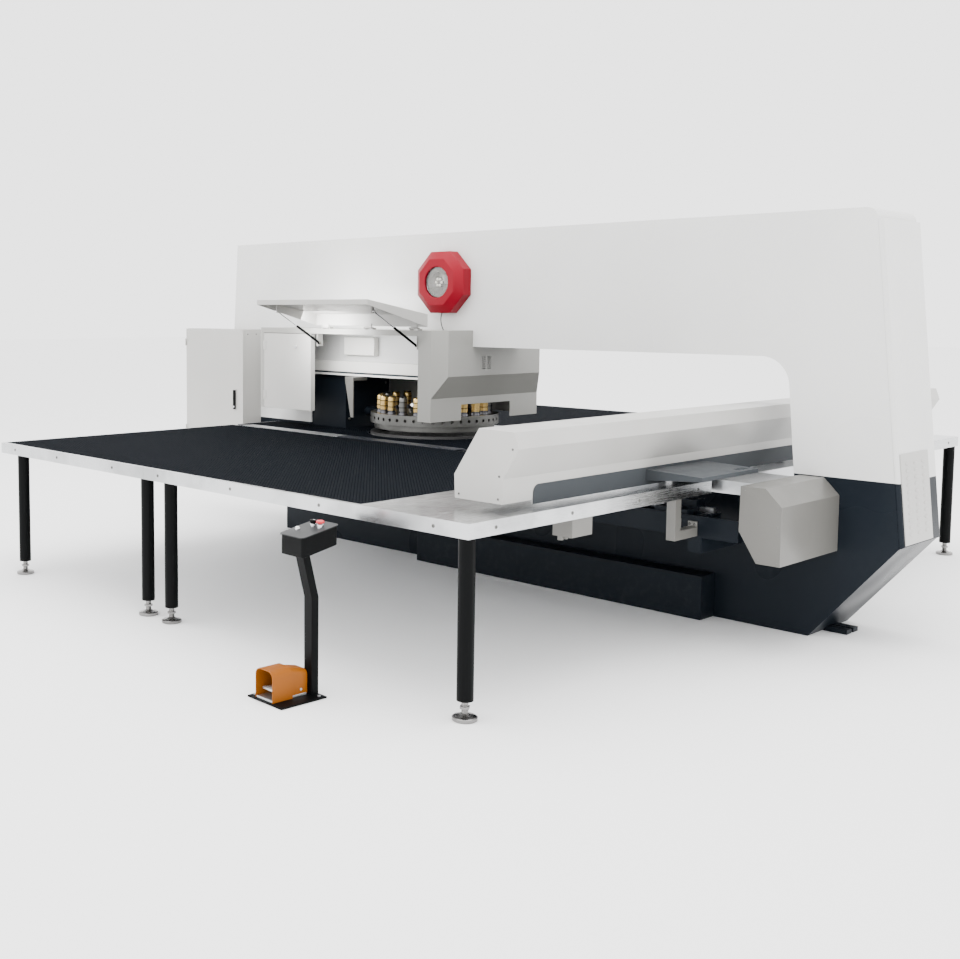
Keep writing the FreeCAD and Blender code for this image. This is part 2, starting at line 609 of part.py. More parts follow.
def make_beam():
    """Cross beam: a box tube with two milled rails, under a folded cover."""
    low, high = "beam_low", "beam_high"
    tube = box("beam_tube", ("-beam_half", "beam_half"), ("beam_y", "beam_y + beam_depth"),
               (low, high))
    inside = box("beam_inside", ("-beam_half - 10", "beam_half + 10"),
                 ("beam_y + beam_wall", "beam_y + beam_depth - beam_wall"),
                 (f"{low} + beam_wall", f"{high} - beam_wall"))
    hollow_tube = cut("beam_hollow", tube, inside)
    rails = [box("beam_rail", ("-beam_half + 40", "beam_half - 40"),
                 ("beam_y - 25", "beam_y + 2"), (z, f"{z} + 22"))
             for z in (f"{low} + 18", f"{high} - 40")]
    blocks = [box("x_bearing", (x, f"{x} + 30"), ("beam_y - 45", "beam_y + 2"),
                  ("x_screw_z - 26", "x_screw_z + 26")) for x in ("-beam_half + 5", "beam_half - 35")]
    bore = rod("x_bearing_bore", "x_screw_radius + ram_gap", "2 * beam_half + 40",
               "-beam_half - 20", "x_screw_y", "x_screw_z", "X")
    node(cut("x_beam", fuse("beam_solid", hollow_tube, *rails, *blocks), bore))
    node(rod("x_screw", "x_screw_radius", "2 * beam_half - 12", "-beam_half + 6",
             "x_screw_y", "x_screw_z", "X"))

    outline = [(2314, 912), (2599, 912), (2603, 1029), (2689, 1173), (2662, 1248),
               (2457, 1252), (2310, 1026)]
    inner = [(2318, 900), (2595, 900), (2599, 1030), (2684, 1172), (2659, 1244),
             (2459, 1248), (2314, 1025)]
    shell = prism("beam_cover_blank", "YZ_Plane", [outline], "2 * cover_half", "-cover_half")
    space = prism("beam_cover_space", "YZ_Plane", [inner], "2 * cover_half - 2 * sheet",
                  "-cover_half + sheet")
    mouth = box("clamp_mouth", ("-beam_half + 10", "beam_half - 10"), (2300, 2330),
                (900, "carriage_high + 3"))
    node(cut("beam_cover", shell, space, mouth))


def make_carriers():
    """Uprights that carry the beam on the rails, one of them with the screw's nut."""
    sides = []
    middle = "rail_beam_x + rail_beam_width / 2"
    y = ("carrier_y", "carrier_y + carrier_length")
    for side in (1, -1):
        block = box("carrier_block", side_span(side, f"{middle} - carrier_block / 2",
                                               f"{middle} + carrier_block / 2"),
                    y, ("rail_beam_high + 3", "rail_beam_high + rail_height + 40"))
        groove = box("carrier_groove", side_span(side, f"{middle} - rail_width / 2 - 0.3",
                                                 f"{middle} + rail_width / 2 + 0.3"),
                     ("carrier_y - 10", "carrier_y + carrier_length + 10"),
                     ("rail_beam_high", "rail_beam_high + rail_height + 0.3"))
        upright = box("carrier_upright", side_span(side, f"{middle} - upright / 2",
                                                   f"{middle} + upright / 2"),
                      ("carrier_y + 30", "carrier_y + carrier_length - 30"),
                      ("rail_beam_high + rail_height + 30", "beam_low"))
        parts = [block, upright]
        tools = [groove]
        if side > 0:
            parts.append(box("nut_bridge", (f"{middle} + 10", "y_screw_x + 40"), y,
                             ("rail_beam_high + 3", "rail_beam_high + 23")))
            parts.append(box("nut_housing", ("y_screw_x - 40", "y_screw_x + 40"), y,
                             ("y_screw_z - 40", "rail_beam_high + 23")))
            tools.append(rod("nut_bore", "y_screw_radius + ram_gap", "carrier_length + 20",
                             "y_screw_x", "carrier_y - 10", "y_screw_z", "Y"))
        sides.append(cut("carrier", fuse("carrier_solid", *parts), *tools))
    node(group("beam_carriers", *sides))


def make_skirt():
    """Slate-coloured skirt along the back of the cover, with a slotted cable tray."""
    band = prism("skirt_band", "YZ_Plane", [[
        ("skirt_y", "skirt_low"), ("skirt_y + skirt_thick", "skirt_low"),
        ("skirt_y + skirt_lean + skirt_thick", "skirt_high"),
        ("skirt_y + skirt_lean", "skirt_high")]], "2 * skirt_half", "-skirt_half")
    eased = rounded("skirt_eased", band, "skirt_corner", lambda edge: (
        edge.CenterOfMass.z > size("skirt_high") - 1 and edge.Length < 10))
    tray = prism("tray_blank", "YZ_Plane", [[
        ("skirt_y + skirt_thick", "tray_top - 45"), ("tray_back_y", "tray_top - 22"),
        ("tray_back_y", "tray_top"), ("skirt_y + skirt_lean + 1.5", "tray_top + 12")]],
        "tray_outer - tray_inner", "tray_inner")
    slots = [box("tray_slot", (f"tray_inner + 60 + 36 * {i}", f"tray_inner + 80 + 36 * {i}"),
                 ("tray_back_y - 65", "tray_back_y - 25"), ("skirt_low", "skirt_high"))
             for i in range(3)]
    node(fuse("beam_skirt", eased, cut("tray", tray, *slots)))


def make_carriage():
    """X carriage on the beam's rails, with three clamp bodies and their upper jaws."""
    plate = box("carriage_plate_block", ("-carriage_half", "carriage_half"),
                ("carriage_y", "carriage_y + carriage_plate"), ("beam_low + 8", "carriage_high"))
    parts, grooves = [plate], []
    for z in ("beam_low + 18", "beam_high - 40"):
        for x in (-780, -110, 560):
            parts.append(box("rail_block", (x, f"{x} + 220"),
                             ("carriage_y + carriage_plate - 5", "beam_y - 6"),
                             (f"{z} - 14", f"{z} + 36")))
            grooves.append(box("rail_groove", (f"{x} - 5", f"{x} + 225"),
                               ("beam_y - 25.3", "beam_y + 5"), (f"{z} - 0.3", f"{z} + 22.3")))
    parts.append(box("x_nut", ("carriage_half - 500", "carriage_half - 400"),
                     ("carriage_y + carriage_plate - 5", "beam_y - 4"),
                     ("x_screw_z - 24", "x_screw_z + 24")))
    grooves.append(rod("x_nut_bore", "x_screw_radius + ram_gap", 140, "carriage_half - 520",
                       "x_screw_y", "x_screw_z", "X"))
    node(cut("x_carriage", fuse("carriage_solid", *parts), *grooves))

    bodies, jaws = [], []
    for step in (-1, 0, 1):
        middle = f"{step} * clamp_pitch"
        wide = (f"{middle} - clamp_width / 2", f"{middle} + clamp_width / 2")
        slot = (f"{middle} - clamp_width / 2 + 15.3", f"{middle} + clamp_width / 2 - 15.3")
        jaw_x = (f"{middle} - clamp_width / 2 + 16", f"{middle} + clamp_width / 2 - 16")
        block = box("clamp_block", wide, ("jaw_pivot_y - 30", "clamp_back_y"),
                    ("jaw_low", "clamp_top"))
        lower_jaw = box("lower_jaw", wide, ("clamp_tip_y", "jaw_pivot_y"),
                        ("jaw_low", "pass_line - 1"))
        room = box("jaw_room", slot, ("jaw_pivot_y - 40", "jaw_pivot_y + 75"),
                   ("pass_line - 1", "clamp_top + 10"))
        hole = rod("jaw_hole", "jaw_pin_radius + ram_gap", "clamp_width - 12",
                   f"{middle} - clamp_width / 2 + 6", "jaw_pivot_y", "jaw_pivot_z", "X")
        bodies.append(cut("clamp_body", fuse("clamp_solid", block, lower_jaw), room, hole))
        arm = box("jaw_arm", jaw_x, ("clamp_tip_y + 4", "jaw_pivot_y + 60"),
                  ("pass_line + 5", "jaw_pivot_z + 18"))
        wedge = prism("jaw_wedge", "YZ_Plane", [[
            ("clamp_tip_y - 10", "pass_line + 20"), ("jaw_pivot_y - 40", "jaw_pivot_z + 30"),
            ("clamp_tip_y - 10", "jaw_pivot_z + 30")]], "clamp_width",
            f"{middle} - clamp_width / 2")
        heel_room = box("heel_room", jaw_x, ("jaw_pivot_y + 14", "jaw_pivot_y + 70"),
                        ("pass_line - 10", "jaw_pivot_z - 4"))
        pin = rod("jaw_pin", "jaw_pin_radius", "clamp_width - 14",
                  f"{middle} - clamp_width / 2 + 7", "jaw_pivot_y", "jaw_pivot_z", "X")
        jaws.append(fuse("jaw", cut("jaw_cut", arm, wedge, heel_room), pin))
    node(group("clamp_bodies", *bodies))
    node(group("clamp_jaws", *jaws))


def turret_disc(label, low, high, tool_hole, index_z):
    """A turret disc with a tool hole and an index hole at every station."""
    disc = rod(label + "_disc", "turret_radius", f"{high} - {low}", 0, 0, low)
    tools = [rod(label + "_bore", "shaft_radius + fit_gap", 400, 0, 0, f"{low} - 100")]
    for angle in station_angles("stations"):
        tools.append(rod(label + "_station", tool_hole, 400,
                         f"pitch_radius * cos({angle} deg)",
                         f"pitch_radius * sin({angle} deg)", f"{low} - 100"))
    for angle in station_angles("index_holes"):
        across = f"cos({angle} deg)"
        along = f"sin({angle} deg)"
        pin_hole = rod(label + "_index", "index_radius", "index_depth + 20")
        turn = FreeCAD.Rotation(FreeCAD.Vector(0, 0, 1), angle).multiply(TURNED["X"])
        start = "(turret_radius - index_depth)"
        tools.append(place(pin_hole, f"{start} * {across}", f"{start} * {along}",
                           index_z, turn))
    return disc, tools


def make_turrets():
    """Upper turret with tools, lower turret with dies, and their shafts."""
    disc, tools = turret_disc("upper", "upper_low", "upper_high",
                              "tool_radius + tool_gap", "index_high_z")
    boss = rod("upper_boss", "boss_radius", "boss_height + 10", 0, 0, "upper_high - 10")
    tools.append(cut("undercut", rod("undercut_outer", "turret_radius + 10",
                                     "undercut_z - upper_low + 10", 0, 0, "upper_low - 10"),
                     rod("undercut_inner", "undercut_radius", 200, 0, 0, "upper_low - 50")))
    node(cut("upper_turret", fuse("upper_solid", disc, boss), *tools))
    disc, tools = turret_disc("lower", "lower_low", "lower_high", "slug_radius", "index_low_z")
    for angle in station_angles("stations"):
        tools.append(rod("die_pocket", "die_radius + tool_gap", "die_depth + 10",
                         f"pitch_radius * cos({angle} deg)",
                         f"pitch_radius * sin({angle} deg)", "lower_high - die_depth"))
    node(cut("lower_turret", disc, *tools))

    node(fuse("upper_shaft",
              rod("upper_bar", "shaft_radius", "upper_pulley_z + pulley_width - upper_low",
                  0, 0, "upper_low"),
              rod("upper_pulley", "pulley_radius", "pulley_width", 0, 0, "upper_pulley_z")))
    node(fuse("lower_shaft",
              rod("lower_bar", "shaft_radius", "lower_high - lower_pulley_z", 0, 0,
                  "lower_pulley_z"),
              rod("lower_pulley", "pulley_radius", "pulley_width", 0, 0, "lower_pulley_z")))
    node(fuse("cross_shaft",
              rod("cross_bar", "drive_radius", "upper_pulley_z + pulley_width - lower_pulley_z + 90",
                  0, "drive_shaft_y", "lower_pulley_z - 90"),
              rod("cross_pulley_low", "drive_pulley_radius", "pulley_width", 0,
                  "drive_shaft_y", "lower_pulley_z"),
              rod("cross_pulley_high", "drive_pulley_radius", "pulley_width", 0,
                  "drive_shaft_y", "upper_pulley_z")))


def punch_tool(label, x, y):
    """A punch in its guide: narrow tip, steel guide and a head that the ram strikes."""
    return fuse(label,
                rod(label + "_tip", "tool_tip_radius", "tool_body_low - upper_low", x, y,
                    "upper_low + 5"),
                rod(label + "_guide", "tool_radius", "tool_body_high - tool_body_low", x, y,
                    "tool_body_low"),
                rod(label + "_head", "tool_head_radius", "tool_head_high - tool_body_high + 5",
                    x, y, "tool_body_high - 5"))


def make_tools():
    """A punch at every station, the one under the ram apart, and the dies below."""
    punches, dies = [], []
    for number, angle in enumerate(station_angles("stations")):
        x, y = f"pitch_radius * cos({angle} deg)", f"pitch_radius * sin({angle} deg)"
        tool = punch_tool("active_punch" if number == 0 else "punch", x, y)
        if number:
            punches.append(tool)
        else:
            node(tool)
        dies.append(cut("die", rod("die_ring", "die_radius", "die_depth", x, y,
                                   "lower_high - die_depth"),
                        rod("die_hole", "tool_tip_radius + 0.5", 60, x, y,
                            "lower_high - die_depth - 10")))
    node(group("punch_tools", *punches))
    node(group("die_set", *dies))


def make_hubs():
    """Flanged bearing tubes of both turrets, and rings for all the bearings."""
    upper = cut("upper_hub",
                fuse("upper_hub_solid",
                     rod("upper_hub_tube", "hub_radius", "upper_pulley_z - 20 - head_underside",
                         0, 0, "head_underside + 6"),
                     rod("upper_hub_flange", "hub_flange", 30, 0, 0,
                         "head_underside + frame_plate")),
                rod("upper_hub_bore", "bearing_radius", 1200, 0, 0, "head_underside - 20"))
    lower = cut("lower_hub",
                fuse("lower_hub_solid",
                     rod("lower_hub_tube", "hub_radius",
                         "base_top - 6 - lower_pulley_z - pulley_width - 20", 0, 0,
                         "lower_pulley_z + pulley_width + 20"),
                     rod("lower_hub_flange", "hub_flange", 30, 0, 0, "base_top - 105")),
                rod("lower_hub_bore", "bearing_radius", 700, 0, 0, "lower_pulley_z + 10"))
    node(group("turret_hubs", upper, lower))

    rings = []
    heights = ("head_underside + 60", "upper_pulley_z - 90",
               "lower_pulley_z + pulley_width + 40", "base_top - 70")
    for z in heights:
        rings.append(cut("bearing",
                         rod("bearing_outer", "bearing_radius - fit_gap", "bearing_width",
                             0, 0, z),
                         rod("bearing_inner", "shaft_radius + ram_gap", 100, 0, 0,
                             f"{z} - 20")))
    for z in ("arm_underside + 19", "base_top - 74"):
        rings.append(cut("cross_bearing",
                         rod("cross_bearing_outer", "web - fit_gap", "bearing_width - 1", 0,
                             "drive_shaft_y", z),
                         rod("cross_bearing_inner", "drive_radius + ram_gap", 100, 0,
                             "drive_shaft_y", f"{z} - 20")))
    node(group("turret_bearings", *rings))


def belt(low_z, thickness):
    """A flat belt loop round the turret pulley and the cross shaft's pulley."""
    reach = abs(size("drive_shaft_y"))
    gap = 0.3

    def loop(extra):
        big, small = size("pulley_radius") + extra, size("drive_pulley_radius") + extra
        lean = math.asin((big - small) / reach)
        c, s = math.cos(lean), math.sin(lean)
        far = FreeCAD.Vector(0, -reach, low_z)
        near = FreeCAD.Vector(0, 0, low_z)
        corners = [near + FreeCAD.Vector(big * c, -big * s, 0),
                   near + FreeCAD.Vector(-big * c, -big * s, 0),
                   far + FreeCAD.Vector(-small * c, -small * s, 0),
                   far + FreeCAD.Vector(small * c, -small * s, 0)]
        near_arc = Part.Arc(corners[0], near + FreeCAD.Vector(0, big, 0), corners[1])
        far_arc = Part.Arc(corners[2], far + FreeCAD.Vector(0, -small, 0), corners[3])
        edges = [near_arc.toShape(), Part.LineSegment(corners[1], corners[2]).toShape(),
                 far_arc.toShape(), Part.LineSegment(corners[3], corners[0]).toShape()]
        return Part.Face(Part.Wire(edges))

    ring = loop(gap + thickness).cut(loop(gap))
    return ring.extrude(FreeCAD.Vector(0, 0, size("pulley_width") - 10))


def make_belts():
    """The two toothed belts between the cross shaft and the turrets' shafts."""
    part = DOC.addObject("Part::Feature", "drive_belts")
    part.Shape = Part.makeCompound([belt(size(name) + 5, size("belt_thick"))
                                    for name in ("upper_pulley_z", "lower_pulley_z")])
    part.Placement = FreeCAD.Placement()
    node(part)


def make_ram():
    """Hydraulic ram cylinder bolted in the head, and the ram with its striker."""
    y = "pitch_radius"
    foot = "tool_head_high + striker_gap"
    body = fuse("ram_body_solid",
                rod("ram_body", "ram_body_radius", "ram_body_high - head_underside - 2", 0, y,
                    "head_underside + 2"),
                rod("ram_flange", "ram_hole + 10", 40, 0, y, "head_underside + frame_plate"))
    bore = rod("ram_bore", "ram_radius + ram_gap", "ram_body_high - head_underside - 40", 0, y,
               "head_underside - 10")
    limit = box("ram_limit", (f"frame_plate - {HALF}", f"{HALF} - frame_plate"),
                ("boss_radius + 20", "head_end_y - frame_plate"), ("head_underside", 2300))
    node(common("ram_cylinder", cut("ram_cylinder_bored", body, bore), limit))
    node(fuse("ram",
              rod("ram_rod", "ram_radius", "ram_length", 0, y,
                  f"{foot} + striker_height - 5"),
              rod("striker", "striker_radius", "striker_height", 0, y, foot)))


def make_index():
    """Housing on the column for the two index pins, and the pins themselves."""
    housing = box("index_block", ("-index_half", "index_half"),
                  ("column_face_y", "index_back_y"), ("base_top", "index_top"))
    nose = [rod("index_nose", 34, "-index_back_y - turret_radius - pin_tip_gap - 12", 0,
                "index_back_y - 5", z, "Y") for z in ("index_high_z", "index_low_z")]
    start = "-turret_radius - pin_tip_gap - pin_length"
    bores = [rod("index_bore", "index_radius - pin_gap + ram_gap", "pin_length + 60", 0,
                 f"{start} - 5", z, "Y") for z in ("index_high_z", "index_low_z")]
    hollow = box("index_hollow", ("-index_half + 30", "index_half - 30"),
                 ("column_face_y + 30", f"{start} + 40"), ("base_top + 30", "index_top - 30"))
    node(cut("index_housing", fuse("index_solid", housing, *nose), *bores, hollow))
    pins = [rod("index_pin", "index_radius - pin_gap", "pin_length", 0, start, z, "Y")
            for z in ("index_high_z", "index_low_z")]
    node(group("index_pins", *pins))


def guard_form(label, inset):
    """The guard's outer form, or its inner form when inset by the sheet's thickness."""
    side = prism(label + "_side", "YZ_Plane", [[
        (f"guard_front_y + {inset}", f"guard_low - 3 * {inset}"),
        (f"guard_band_y - {inset}", f"guard_low - 3 * {inset}"),
        (f"guard_band_y - {inset}", "guard_band_z"),
        (f"guard_end_y - {inset}", "guard_skirt_z"),
        (f"guard_end_y - {inset}", f"guard_high - {inset}"),
        (f"guard_front_y + {inset}", f"guard_high - {inset}")]],
        "2 * guard_half", "-guard_half")
    plan = prism(label + "_plan", "XY_Plane", [[
        (f"-guard_half + {inset}", f"guard_front_y + {inset}"),
        (f"guard_half - {inset}", f"guard_front_y + {inset}"),
        (f"guard_half - {inset}", f"guard_end_y - guard_chamfer - 0.4 * {inset}"),
        (f"guard_half - guard_chamfer - 0.4 * {inset}", f"guard_end_y - {inset}"),
        (f"-guard_half + guard_chamfer + 0.4 * {inset}", f"guard_end_y - {inset}"),
        (f"-guard_half + {inset}", f"guard_end_y - guard_chamfer - 0.4 * {inset}")]],
        "guard_high + 100")
    return common(label, side, plan)


def make_guard():
    """Sheet guard hung on the arm, open at the front window and at the sheet slot."""
    outer = guard_form("guard_outer", "0")
    inner = guard_form("guard_inner", "sheet")
    openings = [
        box("arm_way", (f"-{HALF}", HALF), ("guard_front_y - 50", "guard_end_y + 50"),
            ("arm_underside", "guard_high + 50")),
        box("column_way", (f"-{HALF}", HALF), ("guard_front_y - 50", "guard_front_y + 50"),
            ("guard_low - 50", "guard_high + 50")),
        box("window", ("guard_half - 30", "guard_half + 30"),
            ("window_front_y", "window_back_y"), ("guard_low - 50", "window_top")),
        box("door_way", ("guard_half - 30", "guard_half + 30"),
            ("guard_front_y + stile", "window_front_y + 1"), ("guard_low + 2", "window_top")),
        box("band_slot", ("-slot_half", "slot_half"), ("guard_band_y - 30", "guard_band_y + 30"),
            ("guard_low - 50", "slot_top")),
    ]
    for column in (50, 110):
        for row in range(6):
            openings.append(box("vent", (column, f"{column} + 42"),
                                ("guard_end_y - 20", "guard_end_y + 20"),
                                (f"1385 + 16 * {row}", f"1391 + 16 * {row}")))
    shell = cut("guard_sheet", outer, inner, *openings)
    extras = []
    for y, outward in (("strut_front_y", -1), ("strut_back_y", 1)):
        face = f"{y} + {outward} * (strut_radius + 1 + bracket_thick / 2)"
        plate_y = (f"{face} - bracket_thick / 2", f"{face} + bracket_thick / 2")
        extras.append(box("strut_plate", ("guard_half - 60", "guard_half - sheet + 1"), plate_y,
                          ("strut_foot_z - 25", "guard_high - 2")))
        start = f"{y} - strut_radius - {3 if outward < 0 else 0}"
        extras.append(rod("strut_foot_stud", "strut_stud - 0.3", "2 * strut_radius + 3",
                          "strut_foot_x", start, "strut_foot_z", "Y"))
    for y in hinge_places():
        for step in (-1, 1):
            low = f"{y} + {step} * (knuckle_length / 2 + 1) - {15 if step < 0 else 0} "
            knuckle = rod("knuckle", "knuckle_radius", 15, "hinge_x", low, "hinge_z", "Y")
            pin_way = rod("knuckle_bore", "hinge_pin_radius + ram_gap", 19, "hinge_x",
                          f"{low} - 2", "hinge_z", "Y")
            leaf = box("knuckle_leaf", ("guard_half - 24", "hinge_x - 2"), (low, f"{low} + 15"),
                       ("guard_high - 1", "hinge_z"))
            extras.append(cut("knuckle_fixed", fuse("knuckle_solid", knuckle, leaf), pin_way))
    node(fuse("guard_shell", shell, *extras))


def hinge_places():
    """Y of the middle of each of the flap's three hinges."""
    return ("flap_front_y + 115", "(flap_front_y + flap_back_y) / 2", "flap_back_y - 115")


def make_flap():
    """Folded flap, open as it rests, with hinge knuckles and two strut brackets."""
    rise = "(flap_tip_high - flap_high) / (flap_tip_x - guard_half)"
    outer = prism("flap_outer", "XZ_Plane", [[
        ("guard_half", "flap_low"), ("flap_tip_x", "flap_tip_low"),
        ("flap_tip_x", "flap_tip_high"), ("guard_half", "flap_high")]],
        "flap_back_y - flap_front_y", 0, "flap_front_y")
    inner = prism("flap_inner", "XZ_Plane", [[
        ("guard_half + sheet", "flap_low - 30"), ("flap_tip_x - sheet", "flap_tip_low - 30"),
        ("flap_tip_x - sheet", f"flap_tip_high - sheet * 1.02 - sheet * {rise}"),
        ("guard_half + sheet", f"flap_high - sheet * 1.02 + sheet * {rise}")]],
        "flap_back_y - flap_front_y - 2 * sheet", 0, "flap_front_y + sheet")
    parts = [cut("flap_tray", outer, inner)]
    for y, inward in (("strut_front_y", 1), ("strut_back_y", -1)):
        face = f"{y} + {inward} * (strut_radius + 1 + bracket_thick / 2)"
        parts.append(box("flap_bracket", ("strut_top_x - 14", "strut_top_x + 14"),
                         (f"{face} - bracket_thick / 2", f"{face} + bracket_thick / 2"),
                         ("strut_top_z - 14", "flap_tip_high - 33")))
    for y in hinge_places():
        low = f"{y} - knuckle_length / 2"
        barrel = rod("flap_knuckle", "knuckle_radius", "knuckle_length", "hinge_x", low,
                     "hinge_z", "Y")
        pin = rod("flap_pin", "hinge_pin_radius", "knuckle_length + 30", "hinge_x",
                  f"{low} - 15", "hinge_z", "Y")
        leaf = box("flap_leaf", ("guard_half", "guard_half + 10"),
                   (low, f"{low} + knuckle_length"), ("hinge_z + 2", "flap_low + 16"))
        parts.append(fuse("flap_hinge", barrel, pin, leaf))
    node(fuse("guard_flap", *parts))


def make_struts():
    """Gas struts: a cylinder on the guard and a rod that ends beside the flap's bracket."""
    run = size("strut_top_x") - size("strut_foot_x")
    lift = size("strut_top_z") - size("strut_foot_z")
    length = math.hypot(run, lift)
    way = FreeCAD.Vector(run, 0, lift) / length
    bodies, rods = [], []
    for alias in ("strut_front_y", "strut_back_y"):
        foot = FreeCAD.Vector(size("strut_foot_x"), size(alias), size("strut_foot_z"))
        top = foot + way * length
        radius, thin = size("strut_radius"), size("strut_rod_radius")
        side = FreeCAD.Vector(0, 1, 0)
        eye = Part.makeCylinder(radius, 2 * radius, foot - side * radius, side)
        tube = Part.makeCylinder(radius, size("strut_body"), foot + way * 6, way)
        stud_hole = Part.makeCylinder(size("strut_stud"), 4 * radius, foot - side * 2 * radius,
                                      side)
        bore = Part.makeCylinder(thin + size("ram_gap"), size("strut_body"),
                                 foot + way * 30, way)
        bodies.append(eye.fuse(tube).cut(stud_hole).cut(bore))
        start = size("strut_body") - 32
        stem = Part.makeCylinder(thin, length - 6 - start, foot + way * start, way)
        end = Part.makeCylinder(radius, 2 * radius, top - side * radius, side)
        rods.append(stem.fuse(end))
    for label, solids in (("strut_cylinders", bodies), ("strut_rods", rods)):
        part = DOC.addObject("Part::Feature", label)
        part.Shape = Part.makeCompound(solids)
        part.Placement = FreeCAD.Placement()
        node(part)


def make_door():
    """Lift-off guard door: a shallow tray with a round lock."""
    y = ("guard_front_y + stile + door_gap", "window_front_y - door_gap")
    outer = box("door_block", ("guard_half - door_depth", "guard_half"), y,
                ("door_low", "door_high"))
    inner = box("door_inside", ("guard_half - door_depth - 10", "guard_half - sheet"),
                (f"{y[0]} + sheet", f"{y[1]} - sheet"), ("door_low + sheet", "door_high - sheet"))
    lock = rod("door_lock", 11, "door_depth", "guard_half - door_depth + 10",
               "window_front_y - 170", 1514, "X")
    parts = [cut("door_tray", outer, inner), lock]
    for z in ("door_low + 60", "door_high - 130"):
        parts.append(rod("door_hinge", 4, 70, "guard_half + 4", f"{y[0]} - 1", z))
        parts.append(box("door_leaf", ("guard_half - 1", "guard_half + 4"),
                         (f"{y[0]} + 1", f"{y[0]} + 25"), (z, f"{z} + 70")))
    node(fuse("guard_door", *parts))


def make_cabinet():
    """Electrical cabinet on the frame's side, with a door and a swing handle."""
    x = (HALF, "cabinet_x - cabinet_door - 0.6")
    y = ("cabinet_front_y", "cabinet_back_y")
    z = ("cabinet_low", "cabinet_high")
    outer = box("cabinet_block", x, y, z)
    inner = box("cabinet_inside", (f"{x[0]} + sheet", f"{x[1]} + 10"),
                (f"{y[0]} + sheet", f"{y[1]} - sheet"), (f"{z[0]} + sheet", f"{z[1]} - sheet"))
    plate = box("cabinet_plate", (f"{x[0]} + sheet - 1", f"{x[0]} + 30"),
                (f"{y[0]} + 60", f"{y[1]} - 60"), (f"{z[0]} + 60", f"{z[1]} - 60"))
    hinges, leaves = [], []
    pin = ("cabinet_x + 6", "cabinet_front_y + 2")
    for low in ("cabinet_low + 90", "cabinet_high - 150"):
        leaves.append(rod("cabinet_knuckle", 5, 30, *pin, f"{low} + 31"))
        leaves.append(rod("cabinet_pin", 3, 30, *pin, f"{low} + 3"))
        leaves.append(box("cabinet_door_leaf", ("cabinet_x - 1", "cabinet_x + 2"),
                          ("cabinet_front_y + 2", "cabinet_front_y + 26"),
                          (f"{low} + 31", f"{low} + 61")))
        leaf_y = ("cabinet_front_y - 3", "cabinet_front_y - 0.5")
        fixed = fuse("cabinet_hinge_solid", rod("cabinet_barrel", 5, 30, *pin, low),
                     box("cabinet_leaf", (f"{x[1]} - 12", "cabinet_x + 6"), leaf_y,
                         (low, f"{low} + 30")),
                     box("cabinet_leaf_root", (f"{x[1]} - 12", x[1]),
                         (leaf_y[0], "cabinet_front_y + 1"), (low, f"{low} + 30")))
        hinges.append(cut("cabinet_hinge", fixed,
                          rod("cabinet_knuckle_bore", "3 + ram_gap", 40, *pin, f"{low} - 5")))
    node(fuse("cabinet_body", cut("cabinet_shell", outer, inner), plate, *hinges))
    door = box("cabinet_door_block", ("cabinet_x - cabinet_door", "cabinet_x"),
               (f"{y[0]} + 2", f"{y[1]} - 2"), (f"{z[0]} + 2", f"{z[1]} - 2"))
    back = box("cabinet_door_inside", ("cabinet_x - cabinet_door - 10", "cabinet_x - sheet"),
               (f"{y[0]} + 2 + sheet", f"{y[1]} - 2 - sheet"),
               (f"{z[0]} + 2 + sheet", f"{z[1]} - 2 - sheet"))
    dish = box("handle_dish", ("cabinet_x - sheet - 8", "cabinet_x + 4"),
               ("handle_y - handle_width / 2 - 6", "handle_y + handle_width / 2 + 6"),
               ("handle_low - 8", "handle_high + 8"))
    socket = rod("handle_socket", 6 + 0.05, 40, "cabinet_x - 20", "handle_y",
                 "handle_high - 16", "X")
    node(cut("cabinet_door", fuse("cabinet_door_solid",
                                  cut("cabinet_door_tray", door, back), dish, *leaves), socket))
    lever = box("handle_lever", ("cabinet_x + 4.5", "cabinet_x + 18"),
                ("handle_y - handle_width / 2", "handle_y + handle_width / 2"),
                ("handle_low", "handle_high"))
    axle = rod("handle_axle", 6, 26, "cabinet_x - 14", "handle_y", "handle_high - 16", "X")
    node(fuse("cabinet_handle", lever, axle))


def octagon(label, half_flats, start_x, depth, end_half=None):
    """An octagonal prism or frustum along +X, centred on the lamp's axis."""
    def ring(half, x):
        radius = half / math.cos(math.pi / 8)
        return Part.makePolygon([FreeCAD.Vector(
            x, size("lamp_y") + radius * math.cos(math.pi / 8 + math.pi / 4 * i),
            size("lamp_z") + radius * math.sin(math.pi / 8 + math.pi / 4 * i))
            for i in range(9)])

    part = DOC.addObject("Part::Feature", label)
    wires = [ring(half_flats, start_x), ring(end_half or half_flats, start_x + depth)]
    part.Shape = Part.makeLoft(wires, True, True)
    part.Placement = FreeCAD.Placement()
    return part


